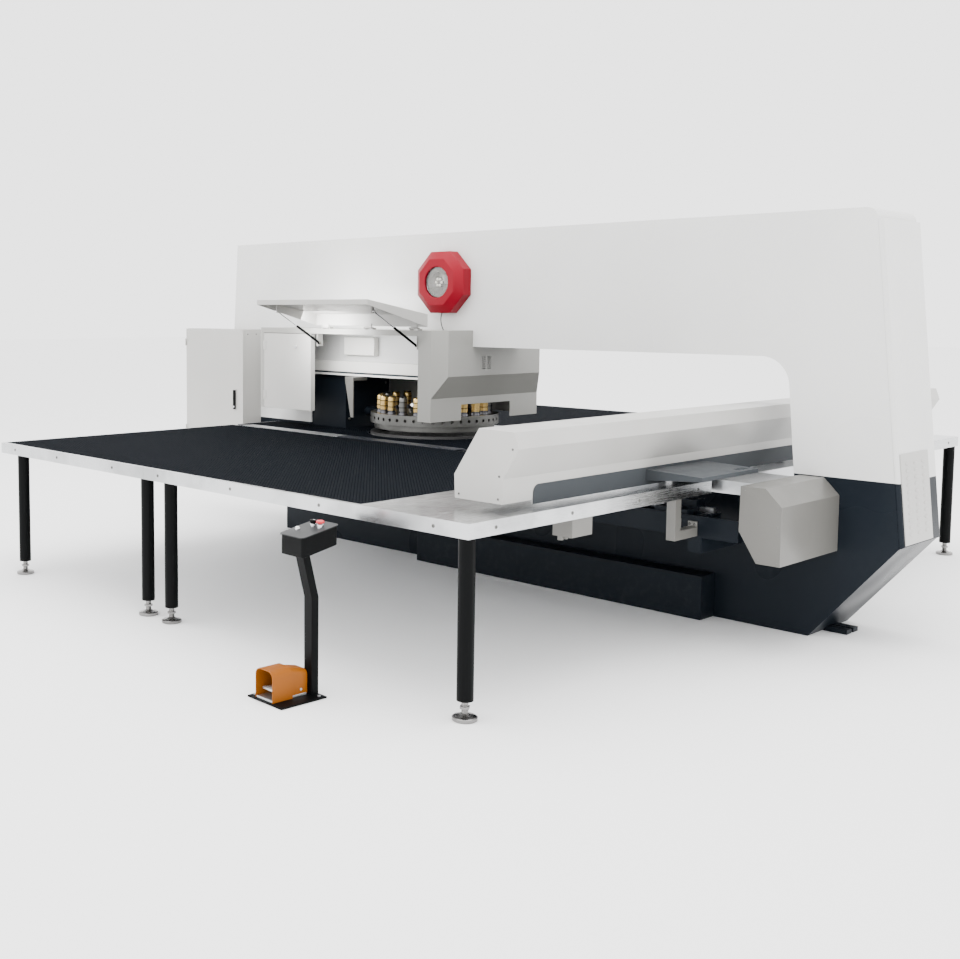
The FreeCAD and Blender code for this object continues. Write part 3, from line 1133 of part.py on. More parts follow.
def make_lamp():
    """Octagonal work-light housing with a round lens, and its short lead."""
    face = size("frame_width") / 2
    side, depth = size("lamp_side"), size("lamp_depth")
    body = fuse("lamp_solid",
                octagon("lamp_base", size("lamp_half"), face, side),
                octagon("lamp_bevel", size("lamp_half"), face + side, depth - side,
                        size("lamp_face_half")))
    well = rod("lamp_well", "lens_radius + fit_gap", "lamp_depth", f"{HALF} + 25", "lamp_y",
               "lamp_z", "X")
    node(cut("lamp_housing", body, well))
    node(rod("lamp_lens", "lens_radius", 8, f"{HALF} + lamp_depth - 14", "lamp_y", "lamp_z",
             "X"))

    start = FreeCAD.Vector(face + 60, size("lamp_y") + 2, size("lamp_z") - size("lamp_half"))
    middle = start + FreeCAD.Vector(22, 10, -50)
    end = FreeCAD.Vector(face + 85, size("lamp_y") + 40, size("guard_high"))
    path = Part.Wire([Part.Arc(start, middle, end).toShape()])
    way = path.Edges[0].tangentAt(path.Edges[0].FirstParameter)
    section = Part.Wire([Part.makeCircle(size("lead_radius"), start, way)])
    part = DOC.addObject("Part::Feature", "lamp_lead")
    tube = path.makePipeShell([section], True, True)
    limit = Part.makeBox(400, 400, start.z - end.z - 0.4,
                         FreeCAD.Vector(face, size("lamp_y") - 200, end.z + 0.2))
    part.Shape = tube.common(limit)
    part.Placement = FreeCAD.Placement()
    node(part)


STAND_TURN = FreeCAD.Rotation(FreeCAD.Vector(0, 0, 1), -2)


def on_stand(part):
    """Turn a part of the control stand with the stand and tie it to the stand's place."""
    return place(part, "stand_x", "stand_y", 0, STAND_TURN)


def make_stand():
    """Floor plate and bent post, operator head with its controls, guarded foot pedal."""
    plate = box("stand_plate", ("-plate_length / 2", "plate_length / 2"),
                ("-plate_width / 2", "plate_width / 2"), (0, "plate_thick"))
    bend, side = "post_bend_z", "post_y - post_width / 2"
    post = prism("post", "XZ_Plane", [[
        ("post_x", 0), ("post_x + post_depth", 0), ("post_x + post_depth", bend),
        ("post_x + post_depth + post_lean", "post_top_z"), ("post_x + post_lean", "post_top_z"),
        ("post_x", bend)]], "post_width", 0, side)
    head_y = "post_y - head_width / 2"
    outline = [("head_back_x", "head_low + head_slope"), ("head_front_x", "head_low"),
               ("head_front_x", "head_front"), ("head_back_x", "head_front + head_slope")]
    head_room = prism("head_room", "XZ_Plane", [outline], "head_width", 0, head_y)
    node(on_stand(group("stand_post", cut("post_whole", fuse("post_solid", plate, post),
                                          head_room))))
    head = prism("head_block", "XZ_Plane", [outline], "head_width", 0, head_y)
    face, low = "head_front + head_slope", "head_front - 40"
    spots = {"stop": ("controls_x", "post_y + 38", 11), "knob": ("controls_x", "post_y - 12", 9),
             "button": ("button_x", "post_y - 42", 9)}
    sockets = [rod("control_socket", radius + 0.4, 200, x, y, f"{low} - 10")
               for x, y, radius in spots.values()]
    node(on_stand(group("stand_head", cut("head_whole", head, *sockets))))

    x, y, radius = spots["stop"]
    node(on_stand(group("stop_button", fuse(
        "stop_solid", rod("stop_stem", radius, f"{face} - ({low}) + 6", x, y, low),
        rod("stop_cap", 20, 16, x, y, f"{face} + 5")))))
    x, y, radius = spots["knob"]
    node(on_stand(group("selector_knob", fuse(
        "knob_solid", rod("knob_stem", radius, f"{face} - ({low}) + 2", x, y, low),
        rod("knob_cap", 17, 16, x, y, f"{face} + 1")))))
    x, y, radius = spots["button"]
    node(on_stand(group("push_button", rod("button_stem", radius,
                                           "head_slope + 28", x, y, low))))
    make_pedal()


def make_pedal():
    """Orange guard with an arched mouth and a lower rear step, over a hinged tread."""
    front = "plate_length / 2 - 8"
    rear = f"{front} - pedal_guard_length"
    half = "pedal_guard_width / 2"
    top = "plate_thick + pedal_guard_height"
    low_y, high_y = f"pedal_y - {half}", f"pedal_y + {half}"
    hood = prism("pedal_hood", "XZ_Plane", [[
        (rear, "plate_thick"), (front, "plate_thick"), (front, f"{top} - 14"),
        (f"{front} - 14", top), (f"{rear} + pedal_step", f"{top} - 12"),
        (f"{rear} + pedal_step", f"{top} - 20"), (f"{rear} + 14", f"{top} - 34"),
        (rear, f"{top} - 56")]], "pedal_guard_width", 0, low_y)
    room = box("pedal_room", (f"{rear} + 6", f"{front} + 20"),
               (f"{low_y} + 6", f"{high_y} - 6"), ("plate_thick + 12", f"{top} - 64"))
    mouth = box("pedal_mouth", (f"{rear} + pedal_step + 6", f"{front} + 20"),
                (f"{low_y} + 6", f"{high_y} - 6"), ("plate_thick + 12", f"{top} - 20"))
    axle_way = rod("pedal_axle_way", 6.05, "pedal_guard_width - 4", f"{rear} + pedal_axle",
                   f"{low_y} + 2", "plate_thick + 32", "Y")
    node(on_stand(group("pedal_guard", cut("pedal_hood_cut", hood, room, mouth, axle_way))))
    tread = prism("pedal_tread", "XZ_Plane", [[
        (f"{rear} + 30", "plate_thick + 24"), (f"{front} - 30", "plate_thick + 40"),
        (f"{front} - 30", "plate_thick + 50"), (f"{rear} + 30", "plate_thick + 40")]],
        "pedal_guard_width - 34", 0, f"{low_y} + 17")
    axle = rod("pedal_axle", 6, "pedal_guard_width - 8", f"{rear} + pedal_axle",
               f"{low_y} + 4", "plate_thick + 32", "Y")
    node(on_stand(group("foot_pedal", fuse("pedal_solid", tread, axle))))


def check_document():
    """Stop if any object failed, or any sub-part's shape is missing or broken."""
    for item in DOC.Objects:
        if "Invalid" in item.State or "Error" in item.State:
            raise RuntimeError(f"{item.Label} failed: {item.State}")
    for part in NODES:
        if part.Shape.isNull() or not part.Shape.isValid() or not part.Shape.Solids:
            raise RuntimeError(f"{part.Label} has no valid solid")


def write_parts():
    """Write each sub-part to its own STEP file."""
    os.makedirs("parts", exist_ok=True)
    for part in NODES:
        part.Shape.exportStep(f"parts/{part.Label}.step")


def build():
    """Make every sub-part, check them and write them."""
    frame_blank = make_frame()
    make_rear_cover()
    make_plinths()
    make_lugs(frame_blank)
    make_tables()
    make_legs()
    make_brackets()
    make_y_guides()
    make_y_screw()
    make_motor_cover()
    make_beam()
    make_carriers()
    make_skirt()
    make_carriage()
    make_turrets()
    make_tools()
    make_hubs()
    make_belts()
    make_ram()
    make_index()
    make_guard()
    make_flap()
    make_struts()
    make_door()
    make_cabinet()
    make_lamp()
    make_stand()
    DOC.recompute()
    check_document()
    write_parts()
    for part in NODES:
        print(part.Label, len(part.Shape.Solids), round(part.Shape.Volume / 1e6, 2))
    print(len(NODES), "nodes")


build()
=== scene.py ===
import math

import bpy
from mathutils import Matrix, Vector


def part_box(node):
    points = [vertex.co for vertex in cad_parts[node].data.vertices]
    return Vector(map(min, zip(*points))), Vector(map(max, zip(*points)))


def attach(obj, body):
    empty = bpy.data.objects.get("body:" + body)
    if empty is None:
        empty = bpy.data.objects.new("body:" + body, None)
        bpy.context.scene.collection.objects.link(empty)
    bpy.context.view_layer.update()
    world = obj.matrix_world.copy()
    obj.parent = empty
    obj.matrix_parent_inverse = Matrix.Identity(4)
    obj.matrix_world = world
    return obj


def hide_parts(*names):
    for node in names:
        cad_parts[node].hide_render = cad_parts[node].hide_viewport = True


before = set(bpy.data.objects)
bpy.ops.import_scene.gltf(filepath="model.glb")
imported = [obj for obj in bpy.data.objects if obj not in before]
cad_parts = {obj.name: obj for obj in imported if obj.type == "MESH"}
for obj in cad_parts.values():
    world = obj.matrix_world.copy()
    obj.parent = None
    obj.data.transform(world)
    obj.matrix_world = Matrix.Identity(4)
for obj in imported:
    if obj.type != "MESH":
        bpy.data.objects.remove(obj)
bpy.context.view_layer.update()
bpy.ops.object.select_all(action="DESELECT")

# Studio. A plain pale floor, soft overhead light, weaker fills from both sides and a small
# light inside the guard. The camera stands behind the loading side, at eye height.
floor_size, floor_drop = 120, 0.0015
bpy.ops.mesh.primitive_plane_add(size=floor_size, location=(0, 0, -floor_drop))
floor = bpy.context.object
floor.name = "studio_floor"
floor_paint = bpy.data.materials.new("floor_paint")
floor_paint.use_nodes = True
floor_shader = floor_paint.node_tree.nodes["Principled BSDF"]
floor_shader.inputs["Base Color"].default_value = (0.95, 0.95, 0.95, 1)
floor_shader.inputs["Roughness"].default_value = 0.75
floor.data.materials.append(floor_paint)

world = bpy.data.worlds.new("studio_air")
bpy.context.scene.world = world
world.use_nodes = True
world.node_tree.nodes["Background"].inputs["Color"].default_value = (1, 1, 1, 1)
world.node_tree.nodes["Background"].inputs["Strength"].default_value = 3.0


def softbox(name, place, target, width, power):
    """A square area light at a place, turned to face a target."""
    light = bpy.data.lights.new(name, "AREA")
    light.size = width
    light.energy = power
    lamp = bpy.data.objects.new(name, light)
    bpy.context.scene.collection.objects.link(lamp)
    lamp.location = place
    aim = Vector(target) - Vector(place)
    lamp.rotation_euler = aim.to_track_quat("-Z", "Y").to_euler()


softbox("overhead", (1.5, 1.0, 7.5), (0, 0.5, 0.8), 8.0, 800)
softbox("fill", (8.5, 1.0, 3.6), (0, 0.5, 1.2), 5.0, 60)
softbox("back_fill", (-7.0, 6.5, 4.5), (0, 0.5, 1.2), 5.0, 100)
softbox("guard_light", (0.75, -0.50, 1.72), (0.25, -0.50, 1.50), 0.5, 16)
bpy.data.objects["guard_light"].visible_camera = False

eye = bpy.data.cameras.new("eye")
eye.sensor_width = 36
eye.lens = 44.714
eye.shift_x = 0.1653
eye.shift_y = -0.07063
eye.clip_end = 200
camera = bpy.data.objects.new("eye", eye)
bpy.context.scene.collection.objects.link(camera)
eye_spot = (6.6179, 6.0022, 1.7864)
heading, dip, roll = 137.637, 4.826, 0.191
camera.matrix_world = (Matrix.Translation(eye_spot)
                       @ Matrix.Rotation(math.radians(heading), 4, "Z")
                       @ Matrix.Rotation(math.radians(90 - dip), 4, "X")
                       @ Matrix.Rotation(math.radians(roll), 4, "Z"))
bpy.context.scene.camera = camera

# Frame. Thick welded plate, filled and sprayed, with a folded cover over its closed back:
# warm white above a line just over the tables and glossy navy below it, with a fine
# orange peel.
paint_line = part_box("centre_table")[1].z + 0.018
line_blur, orange_peel = 0.001, 0.00012
smooth_turn = math.radians(35)
merge_gap = 0.00005
flat_turn = math.radians(1.5)
edge_turn = 28


def blank_material(name):
    """A new material, with its nodes, its links and its shader."""
    material = bpy.data.materials.new(name)
    material.use_nodes = True
    tree = material.node_tree
    return material, tree.nodes, tree.links, tree.nodes["Principled BSDF"]


def noise(nodes, links, scale, detail=4, roughness=0.5, stretch=(1, 1, 1)):
    """Noise on the piece's own metres, drawn out by stretch."""
    coords = nodes.new("ShaderNodeTexCoord")
    mapping = nodes.new("ShaderNodeMapping")
    mapping.inputs["Scale"].default_value = stretch
    texture = nodes.new("ShaderNodeTexNoise")
    texture.inputs["Scale"].default_value = scale
    texture.inputs["Detail"].default_value = detail
    texture.inputs["Roughness"].default_value = roughness
    links.new(coords.outputs["Object"], mapping.inputs["Vector"])
    links.new(mapping.outputs["Vector"], texture.inputs["Vector"])
    return texture.outputs["Fac"]


def along(nodes, links, axis):
    """The place along an axis on the piece, in metres."""
    coords = nodes.new("ShaderNodeTexCoord")
    parts = nodes.new("ShaderNodeSeparateXYZ")
    links.new(coords.outputs["Object"], parts.inputs[0])
    return parts.outputs[axis]


def spread(nodes, links, value, low, high, out_low, out_high):
    """A value taken from one range to another and held there."""
    span = nodes.new("ShaderNodeMapRange")
    span.interpolation_type = "SMOOTHSTEP"
    for socket, number in (("From Min", low), ("From Max", high),
                           ("To Min", out_low), ("To Max", out_high)):
        span.inputs[socket].default_value = number
    links.new(value, span.inputs["Value"])
    return span.outputs["Result"]


def mix(nodes, links, factor, first, second):
    """Two colours mixed by a node's output. Each is a colour or another output."""
    blend = nodes.new("ShaderNodeMix")
    blend.data_type = "RGBA"
    links.new(factor, blend.inputs[0])
    for socket, colour in ((6, first), (7, second)):
        if isinstance(colour, tuple):
            blend.inputs[socket].default_value = (*colour, 1)
        else:
            links.new(colour, blend.inputs[socket])
    return blend.outputs[2]


def bump(nodes, links, shader, height, distance):
    """Surface relief of so many metres."""
    relief = nodes.new("ShaderNodeBump")
    relief.inputs["Distance"].default_value = distance
    links.new(height, relief.inputs["Height"])
    links.new(relief.outputs["Normal"], shader.inputs["Normal"])


def shade(colour, factor):
    """A lighter or darker version of a colour."""
    return tuple(min(1.0, channel * factor) for channel in colour)


def two_tone(name, upper, lower, line):
    """Sprayed enamel in one colour above a height and another below it."""
    material, nodes, links, shader = blank_material(name)
    cloud = spread(nodes, links, noise(nodes, links, 1.4, 5), 0.3, 0.7, 0.0, 1.0)
    light = mix(nodes, links, cloud, shade(upper, 0.965), shade(upper, 1.025))
    dark = mix(nodes, links, cloud, shade(lower, 0.96), shade(lower, 1.04))
    above = spread(nodes, links, along(nodes, links, "Z"), line - line_blur,
                   line + line_blur, 0.0, 1.0)
    links.new(mix(nodes, links, above, dark, light), shader.inputs["Base Color"])
    links.new(spread(nodes, links, above, 0.0, 1.0, 0.09, 0.4),
              shader.inputs["Specular IOR Level"])
    links.new(spread(nodes, links, noise(nodes, links, 2.1, 1), 0.3, 0.7, 0.24, 0.40),
              shader.inputs["Roughness"])
    bump(nodes, links, shader, noise(nodes, links, 380, 2), orange_peel)
    return material


def finish(piece, material):
    """Give a piece one material all over."""
    piece.data.materials.clear()
    piece.data.materials.append(material)


def only(piece):
    """Select one piece alone and make it the active one."""
    bpy.ops.object.select_all(action="DESELECT")
    piece.select_set(True)
    bpy.context.view_layer.objects.active = piece


def settle(piece):
    """Put the piece's place, turn and size into its mesh."""
    only(piece)
    bpy.ops.object.transform_apply(location=True, rotation=True, scale=True)
    return piece


def soften(piece, width, segments=2, angle=30):
    """Round the edges that turn by more than an angle."""
    only(piece)
    edge = piece.modifiers.new("edge", "BEVEL")
    edge.width = width
    edge.segments = segments
    edge.limit_method = "ANGLE"
    edge.angle_limit = math.radians(angle)
    bpy.ops.object.modifier_apply(modifier=edge.name)
    bpy.ops.object.shade_smooth_by_angle(angle=smooth_turn)
    flat = piece.modifiers.new("flat", "WEIGHTED_NORMAL")
    flat.keep_sharp = True
    bpy.ops.object.modifier_apply(modifier=flat.name)
    return piece


def merged(node, name):
    """A copy of a CAD node with its triangles merged, left in edit mode and all selected."""
    piece = bpy.data.objects.new(name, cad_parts[node].data.copy())
    bpy.context.scene.collection.objects.link(piece)
    only(piece)
    bpy.ops.object.mode_set(mode="EDIT")
    bpy.ops.mesh.select_all(action="SELECT")
    bpy.ops.mesh.remove_doubles(threshold=merge_gap)
    return piece


def eased(node, body, width, material, segments=2):
    """A merged copy of a CAD node with broken edges, shown in its place."""
    piece = merged(node, node + "_shown")
    bpy.ops.mesh.dissolve_limited(angle_limit=flat_turn)
    bpy.ops.object.mode_set(mode="OBJECT")
    bpy.ops.mesh.customdata_custom_splitnormals_clear()
    soften(piece, width, segments, edge_turn)
    finish(piece, material)
    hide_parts(node)
    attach(piece, body)


white = (0.66, 0.66, 0.648)
navy = (0.0062, 0.0088, 0.0125)
frame_paint = two_tone("frame_paint", white, navy, paint_line)
eased("frame", "machine", 0.005, frame_paint)
eased("rear_cover", "machine", 0.002, frame_paint)

# Sheet metal covers. Folded steel, sprayed warm grey, with rolled edges: the guard and
# its flap and door, the cabinet, the beam's long cover, the motor cover, the pressed panel
# of the back and the brackets and junction block under the tables.
dust_height, dust_colour = 0.55, (0.30, 0.28, 0.25)


def spray_paint(name, colour, gloss=0.36, dust=0.0, coat=0.2, shine=0.4):
    """Sprayed enamel: cloudy tone, orange peel, and dust that gathers low down."""
    material, nodes, links, shader = blank_material(name)
    cloud = spread(nodes, links, noise(nodes, links, 1.7, 5), 0.3, 0.7, 0.0, 1.0)
    tone = mix(nodes, links, cloud, shade(colour, 0.955), shade(colour, 1.03))
    low = spread(nodes, links, along(nodes, links, "Z"), 0.0, dust_height, dust, 0.0)
    specks = spread(nodes, links, noise(nodes, links, 23, 8, 0.7), 0.45, 0.72, 0.0, 1.0)
    dusty = nodes.new("ShaderNodeMath")
    dusty.operation = "MULTIPLY"
    links.new(low, dusty.inputs[0])
    links.new(specks, dusty.inputs[1])
    links.new(mix(nodes, links, dusty.outputs[0], tone, dust_colour),
              shader.inputs["Base Color"])
    smear = spread(nodes, links, noise(nodes, links, 4.5, 6), 0.3, 0.7,
                   gloss - 0.05, gloss + 0.08)
    links.new(smear, shader.inputs["Roughness"])
    shader.inputs["Specular IOR Level"].default_value = shine
    shader.inputs["Coat Weight"].default_value = coat
    shader.inputs["Coat Roughness"].default_value = 0.15
    bump(nodes, links, shader, noise(nodes, links, 420, 2), orange_peel)
    return material


cover_paint = spray_paint("cover_paint", (0.42, 0.413, 0.395))
# The guard's shell takes the same warm grey darkened, as painted shade.
guard_painted_shade = spray_paint("guard_painted_shade", (0.29, 0.287, 0.268))
# The cover grey darkened further, as painted shade: the motor cover in the tables' shadow, the
# white brackets and the junction block under the tables, and the brackets inside the guard.
cover_painted_shade = spray_paint("cover_painted_shade", (0.125, 0.122, 0.112))
for node, body, width, paint in (
        ("guard_shell", "machine", 0.0015, guard_painted_shade),
        ("motor_cover", "machine", 0.003, cover_painted_shade),
        ("cabinet_body", "machine", 0.0015, cover_paint),
        ("louvre_panel", "machine", 0.002, cover_paint),
        ("table_brackets", "machine", 0.002, cover_painted_shade),
        ("cabinet_door", "cabinet_door", 0.003, cover_paint),
        ("guard_door", "guard_door", 0.0015, cover_paint),
        ("guard_flap", "guard_flap", 0.0015, cover_paint),
        ("beam_cover", "cross_beam", 0.003, cover_paint)):
    eased(node, body, width, paint)
eased("junction_block", "machine", 0.002, cover_painted_shade)

# Castings and weldments. The navy ones carry the rails, the turrets, the ram and the
# cross beam; the beam's skirt is slate, and the legs, motors and strut cylinders are black.
navy_paint = spray_paint("navy_paint", navy, dust=0.02, coat=0.0, shine=0.08)
for node, width in (("base_plinths", 0.005), ("floor_lugs", 0.002), ("index_housing", 0.003),
                    ("y_rail_beams", 0.0015), ("turret_hubs", 0.002),
                    ("ram_cylinder", 0.002)):
    eased(node, "machine", width, navy_paint)
eased("beam_carriers", "cross_beam", 0.0015, navy_paint)
slate_paint = spray_paint("slate_paint", (0.048, 0.053, 0.058), coat=0.0, shine=0.03)
eased("beam_skirt", "cross_beam", 0.0012, slate_paint)
black_paint = spray_paint("black_paint", (0.0025, 0.0028, 0.003), gloss=0.4, coat=0.0,
                          shine=0.05)
for node in ("table_legs", "servo_motors", "strut_cylinders", "lamp_lead"):
    finish(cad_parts[node], black_paint)


# Bare steel. Ground and oiled guide rails, screws, shafts, bearings, carriage, clamps and
# turrets, with chromed strut rods and belts of moulded rubber.
def metal(name, colour, roughness, grain=(1, 60, 60), scale=9):
    """Bare metal with a grain drawn out along one axis, darkened in large patches that are
    partly stains and partly painted reflections.
    """
    material, nodes, links, shader = blank_material(name)
    streaks = noise(nodes, links, scale, 6, 0.65, grain)
    clouds = noise(nodes, links, 1.6, 5, 0.6)
    tone = mix(nodes, links, spread(nodes, links, streaks, 0.3, 0.7, 0.0, 1.0),
               shade(colour, 0.86), shade(colour, 1.08))
    # Large cloudy patches darkened towards half the colour: partly stains, partly painted
    # reflections of the surroundings.
    stains_and_reflections = mix(nodes, links, spread(nodes, links, clouds, 0.42, 0.66, 0.0, 0.7),
                  tone, shade(colour, 0.5))
    links.new(stains_and_reflections, shader.inputs["Base Color"])
    links.new(spread(nodes, links, streaks, 0.3, 0.7, roughness - 0.07, roughness + 0.1),
              shader.inputs["Roughness"])
    shader.inputs["Metallic"].default_value = 1.0
    bump(nodes, links, shader, streaks, 0.00005)
    return material


bright_steel = metal("bright_steel", (0.52, 0.53, 0.55), 0.33, (30, 30, 30), 6)
# Dark steel for the die set and the lower turret. On the lower turret the darkness is painted
# shade, the shadow under the upper turret.
dark_steel_and_shade = metal("dark_steel_and_shade", (0.10, 0.10, 0.10), 0.40, (30, 30, 30), 6)
turret_steel = metal("turret_steel", (0.19, 0.19, 0.18), 0.36, (30, 30, 30), 6)
for node in ("y_rails", "y_screw", "x_screw", "upper_shaft", "lower_shaft", "cross_shaft",
             "turret_bearings", "ram", "index_pins", "x_beam"):
    finish(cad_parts[node], bright_steel)
finish(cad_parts["die_set"], dark_steel_and_shade)
for node, body, width, steel in (
        ("x_carriage", "carriage", 0.001, bright_steel),
        ("clamp_bodies", "carriage", 0.001, bright_steel),
        ("clamp_jaws", "clamp_jaws", 0.0008, bright_steel),
        ("upper_turret", "upper_turret", 0.001, turret_steel),
        ("lower_turret", "lower_turret", 0.001, dark_steel_and_shade)):
    eased(node, body, width, steel)
chrome = metal("chrome", (0.80, 0.80, 0.82), 0.14, (1, 1, 30), 20)
finish(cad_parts["strut_rods"], chrome)
belt_rubber, nodes, links, shader = blank_material("belt_rubber")
shader.inputs["Base Color"].default_value = (0.012, 0.012, 0.012, 1)
shader.inputs["Roughness"].default_value = 0.75
bump(nodes, links, shader, noise(nodes, links, 240, 3), 0.0002)
finish(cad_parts["drive_belts"], belt_rubber)

# Tables. Brushed stainless trays folded from sheet; the centre table is black round the
# brushes, and the strips over the seams are bare at the operator's end and black beyond.
strip_join, join_blur = -0.25, 0.0005


def split_by_y(name, line, near, far):
    """Metal that is black, as 1, or bare, as 0, in front of a line in Y and behind it."""
    material, nodes, links, shader = blank_material(name)
    side = spread(nodes, links, along(nodes, links, "Y"), line - join_blur,
                  line + join_blur, near, far)
    streaks = noise(nodes, links, 9, 6, 0.65, (1, 60, 60))
    steel = mix(nodes, links, streaks, (0.48, 0.49, 0.50), (0.70, 0.71, 0.72))
    links.new(mix(nodes, links, side, steel, (0.012, 0.014, 0.02)),
              shader.inputs["Base Color"])
    links.new(spread(nodes, links, side, 0.0, 1.0, 1.0, 0.0), shader.inputs["Metallic"])
    links.new(spread(nodes, links, streaks, 0.3, 0.7, 0.26, 0.42), shader.inputs["Roughness"])
    bump(nodes, links, shader, streaks, 0.00004)
    return material


stainless = metal("stainless", (0.62, 0.63, 0.64), 0.24)
for node in ("wing_tables_right", "wing_tables_left"):
    eased(node, "machine", 0.0015, stainless)
brush_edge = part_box("brush_fields")[1].y
finish(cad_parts["centre_table"], split_by_y("centre_finish", brush_edge, 1.0, 0.0))
finish(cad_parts["gap_strips"], split_by_y("strip_finish", strip_join, 0.0, 1.0))

# Brush fields. Black plastic backings screwed on the tables, with short stiff tufts of
# nylon set in them in rows 22 mm apart, none of them as high as the pass line.
brush_low, brush_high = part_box("brush_fields")
tuft_pitch, tuft_radius, tip_gap, root_gap = 0.022, 0.0042, 0.0005, 0.0004
tufts_front, tufts_back = brush_low.y + 0.01, brush_high.y - 0.01
backing_share = 0.2
bristle, nodes, links, shader = blank_material("bristle")
links.new(mix(nodes, links, noise(nodes, links, 60, 3), (0.0012, 0.0020, 0.0032),
              (0.0045, 0.006, 0.0085)), shader.inputs["Base Color"])
shader.inputs["Roughness"].default_value = 0.8
shader.inputs["Specular IOR Level"].default_value = 0.02
backing = merged("brush_fields", "brush_backing")
bpy.ops.transform.resize(value=(1, 1, backing_share), center_override=(0, 0, brush_low.z))
bpy.ops.object.mode_set(mode="OBJECT")
finish(backing, bristle)
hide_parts("brush_fields")
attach(backing, "machine")
wing_in, wing_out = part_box("wing_tables_right")[0].x + 0.022, brush_high.x - 0.008
centre_out, seam, seam_half = 0.640, 0.233, 0.012


def tufts(name, low_x, high_x, low_y, high_y):
    """Rows of short tufts that fill a rectangle of the table."""
    bpy.ops.object.select_all(action="DESELECT")
    height = brush_high.z - brush_low.z - tip_gap
    middle = brush_low.z + root_gap + height / 2
    bpy.ops.mesh.primitive_cone_add(vertices=4, radius1=tuft_radius, radius2=0, depth=height,
                                    location=(low_x, low_y, middle))
    field = settle(bpy.context.object)
    field.name = name
    for step, span in (((tuft_pitch, 0, 0), high_x - low_x),
                       ((0, tuft_pitch, 0), high_y - low_y)):
        rows = field.modifiers.new("rows", "ARRAY")
        rows.count = int(span / tuft_pitch) + 1
        rows.use_relative_offset = False
        rows.use_constant_offset = True
        rows.constant_offset_displace = step
        bpy.ops.object.modifier_apply(modifier=rows.name)
    finish(field, bristle)
    return field


for name, low_x, high_x in (("right", wing_in, wing_out), ("left", -wing_out, -wing_in)):
    for part, low_y, high_y in (("front", tufts_front, seam - seam_half),
                                ("back", seam + seam_half, tufts_back)):
        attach(tufts(f"tufts_{name}_{part}", low_x, high_x, low_y, high_y), "machine")
middle_tufts = tufts("tufts_middle", -centre_out, centre_out, tufts_front, tufts_back)
turret_way, housing_side = 0.508, 0.27
housing_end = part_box("index_housing")[1].y + 0.02


def chosen(piece, wanted, mode="EDGE"):
    """Go into edit mode with the wanted edges or vertices selected."""
    only(piece)
    bpy.ops.object.mode_set(mode="EDIT")
    bpy.ops.mesh.select_mode(type=mode)
    bpy.ops.mesh.select_all(action="DESELECT")
    bpy.ops.object.mode_set(mode="OBJECT")
    for item in (piece.data.edges if mode == "EDGE" else piece.data.vertices):
        item.select = wanted(item)
    bpy.ops.object.mode_set(mode="EDIT")


def in_the_way(vertex):
    """Whether the middle of a vertex's tuft is behind the index housing or in the turret."""
    x, y = (round((value - start) / tuft_pitch) * tuft_pitch + start
            for value, start in ((vertex.co.x, -centre_out), (vertex.co.y, tufts_front)))
    behind = abs(x) < housing_side and y < housing_end
    return behind or math.hypot(x, y) < turret_way


chosen(middle_tufts, in_the_way, "VERT")
bpy.ops.mesh.delete(type="VERT")
bpy.ops.object.mode_set(mode="OBJECT")
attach(middle_tufts, "machine")

# Levelling feet. Turned and plated steel pads with a flared neck, a threaded stem that
# screws up into the leg, and a hex lock nut.
stem, nut_low, nut_height, leg_foot = 0.015, 0.050, 0.014, 0.088
thread_low, thread_pitch, thread_depth = 0.031, 0.006, 0.001
leg_x, leg_rows = 2.71, (2.658, 0.445, 0.210, -1.268)


def turned(name, rings, sides=32):
    """A round piece, drawn up ring by ring from its first radius and height."""
    bpy.ops.object.select_all(action="DESELECT")
    radius, height = rings[0]
    bpy.ops.mesh.primitive_circle_add(vertices=sides, radius=radius, fill_type="NGON",
                                      location=(0, 0, height))
    piece = settle(bpy.context.object)
    piece.name = name
    bpy.ops.object.mode_set(mode="EDIT")
    bpy.ops.mesh.select_all(action="SELECT")
    for wider, higher in rings[1:]:
        bpy.ops.mesh.extrude_region_move(
            TRANSFORM_OT_translate={"value": (0, 0, higher - height)})
        bpy.ops.transform.resize(value=(wider / radius, wider / radius, 1),
                                 center_override=(0, 0, higher))
        radius, height = wider, higher
    bpy.ops.mesh.select_all(action="SELECT")
    bpy.ops.mesh.normals_make_consistent(inside=False)
    bpy.ops.object.mode_set(mode="OBJECT")
    bpy.ops.object.shade_smooth_by_angle(angle=smooth_turn)
    return piece


def copies(piece, places, name):
    """Copies of a piece with a mesh each, joined as one piece. The first is used up."""
    made = []
    for place in places:
        twin = bpy.data.objects.new(name, piece.data.copy())
        bpy.context.scene.collection.objects.link(twin)
        twin.location = place
        made.append(settle(twin))
    bpy.data.objects.remove(piece)
    bpy.ops.object.select_all(action="DESELECT")
    for twin in made:
        twin.select_set(True)
    bpy.context.view_layer.objects.active = made[0]
    if len(made) > 1:
        bpy.ops.object.join()
    made[0].name = name
    return made[0]


def hex_nut(name, radius, low, high):
    """A hexagonal nut with a small chamfer round each end."""
    chamfer = 0.0015
    return turned(name, [(radius * 0.9, low), (radius, low + chamfer),
                         (radius, high - chamfer), (radius * 0.9, high)], 6)


foot_rings = [(0.055, 0), (0.057, 0.002), (0.057, 0.015), (0.053, 0.018), (0.032, 0.022),
              (0.020, 0.029), (0.017, 0.0305)]
for turn in range(9):
    root = thread_low + turn * thread_pitch
    foot_rings += [(stem, root), (stem + thread_depth, root + thread_pitch / 2)]
foot_rings.append((stem, leg_foot))
foot_spots = [(side * leg_x, y, 0) for side in (1, -1) for y in leg_rows]
foot_steel = metal("foot_steel", (0.26, 0.255, 0.25), 0.22, (1, 1, 30), 20)
feet = copies(turned("foot", foot_rings, 28), foot_spots, "feet_shown")
finish(feet, foot_steel)
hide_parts("levelling_feet")
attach(feet, "machine")
nuts = copies(hex_nut("nut", 0.024, nut_low, nut_low + nut_height), foot_spots, "foot_nuts")
finish(nuts, foot_steel)
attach(nuts, "machine")

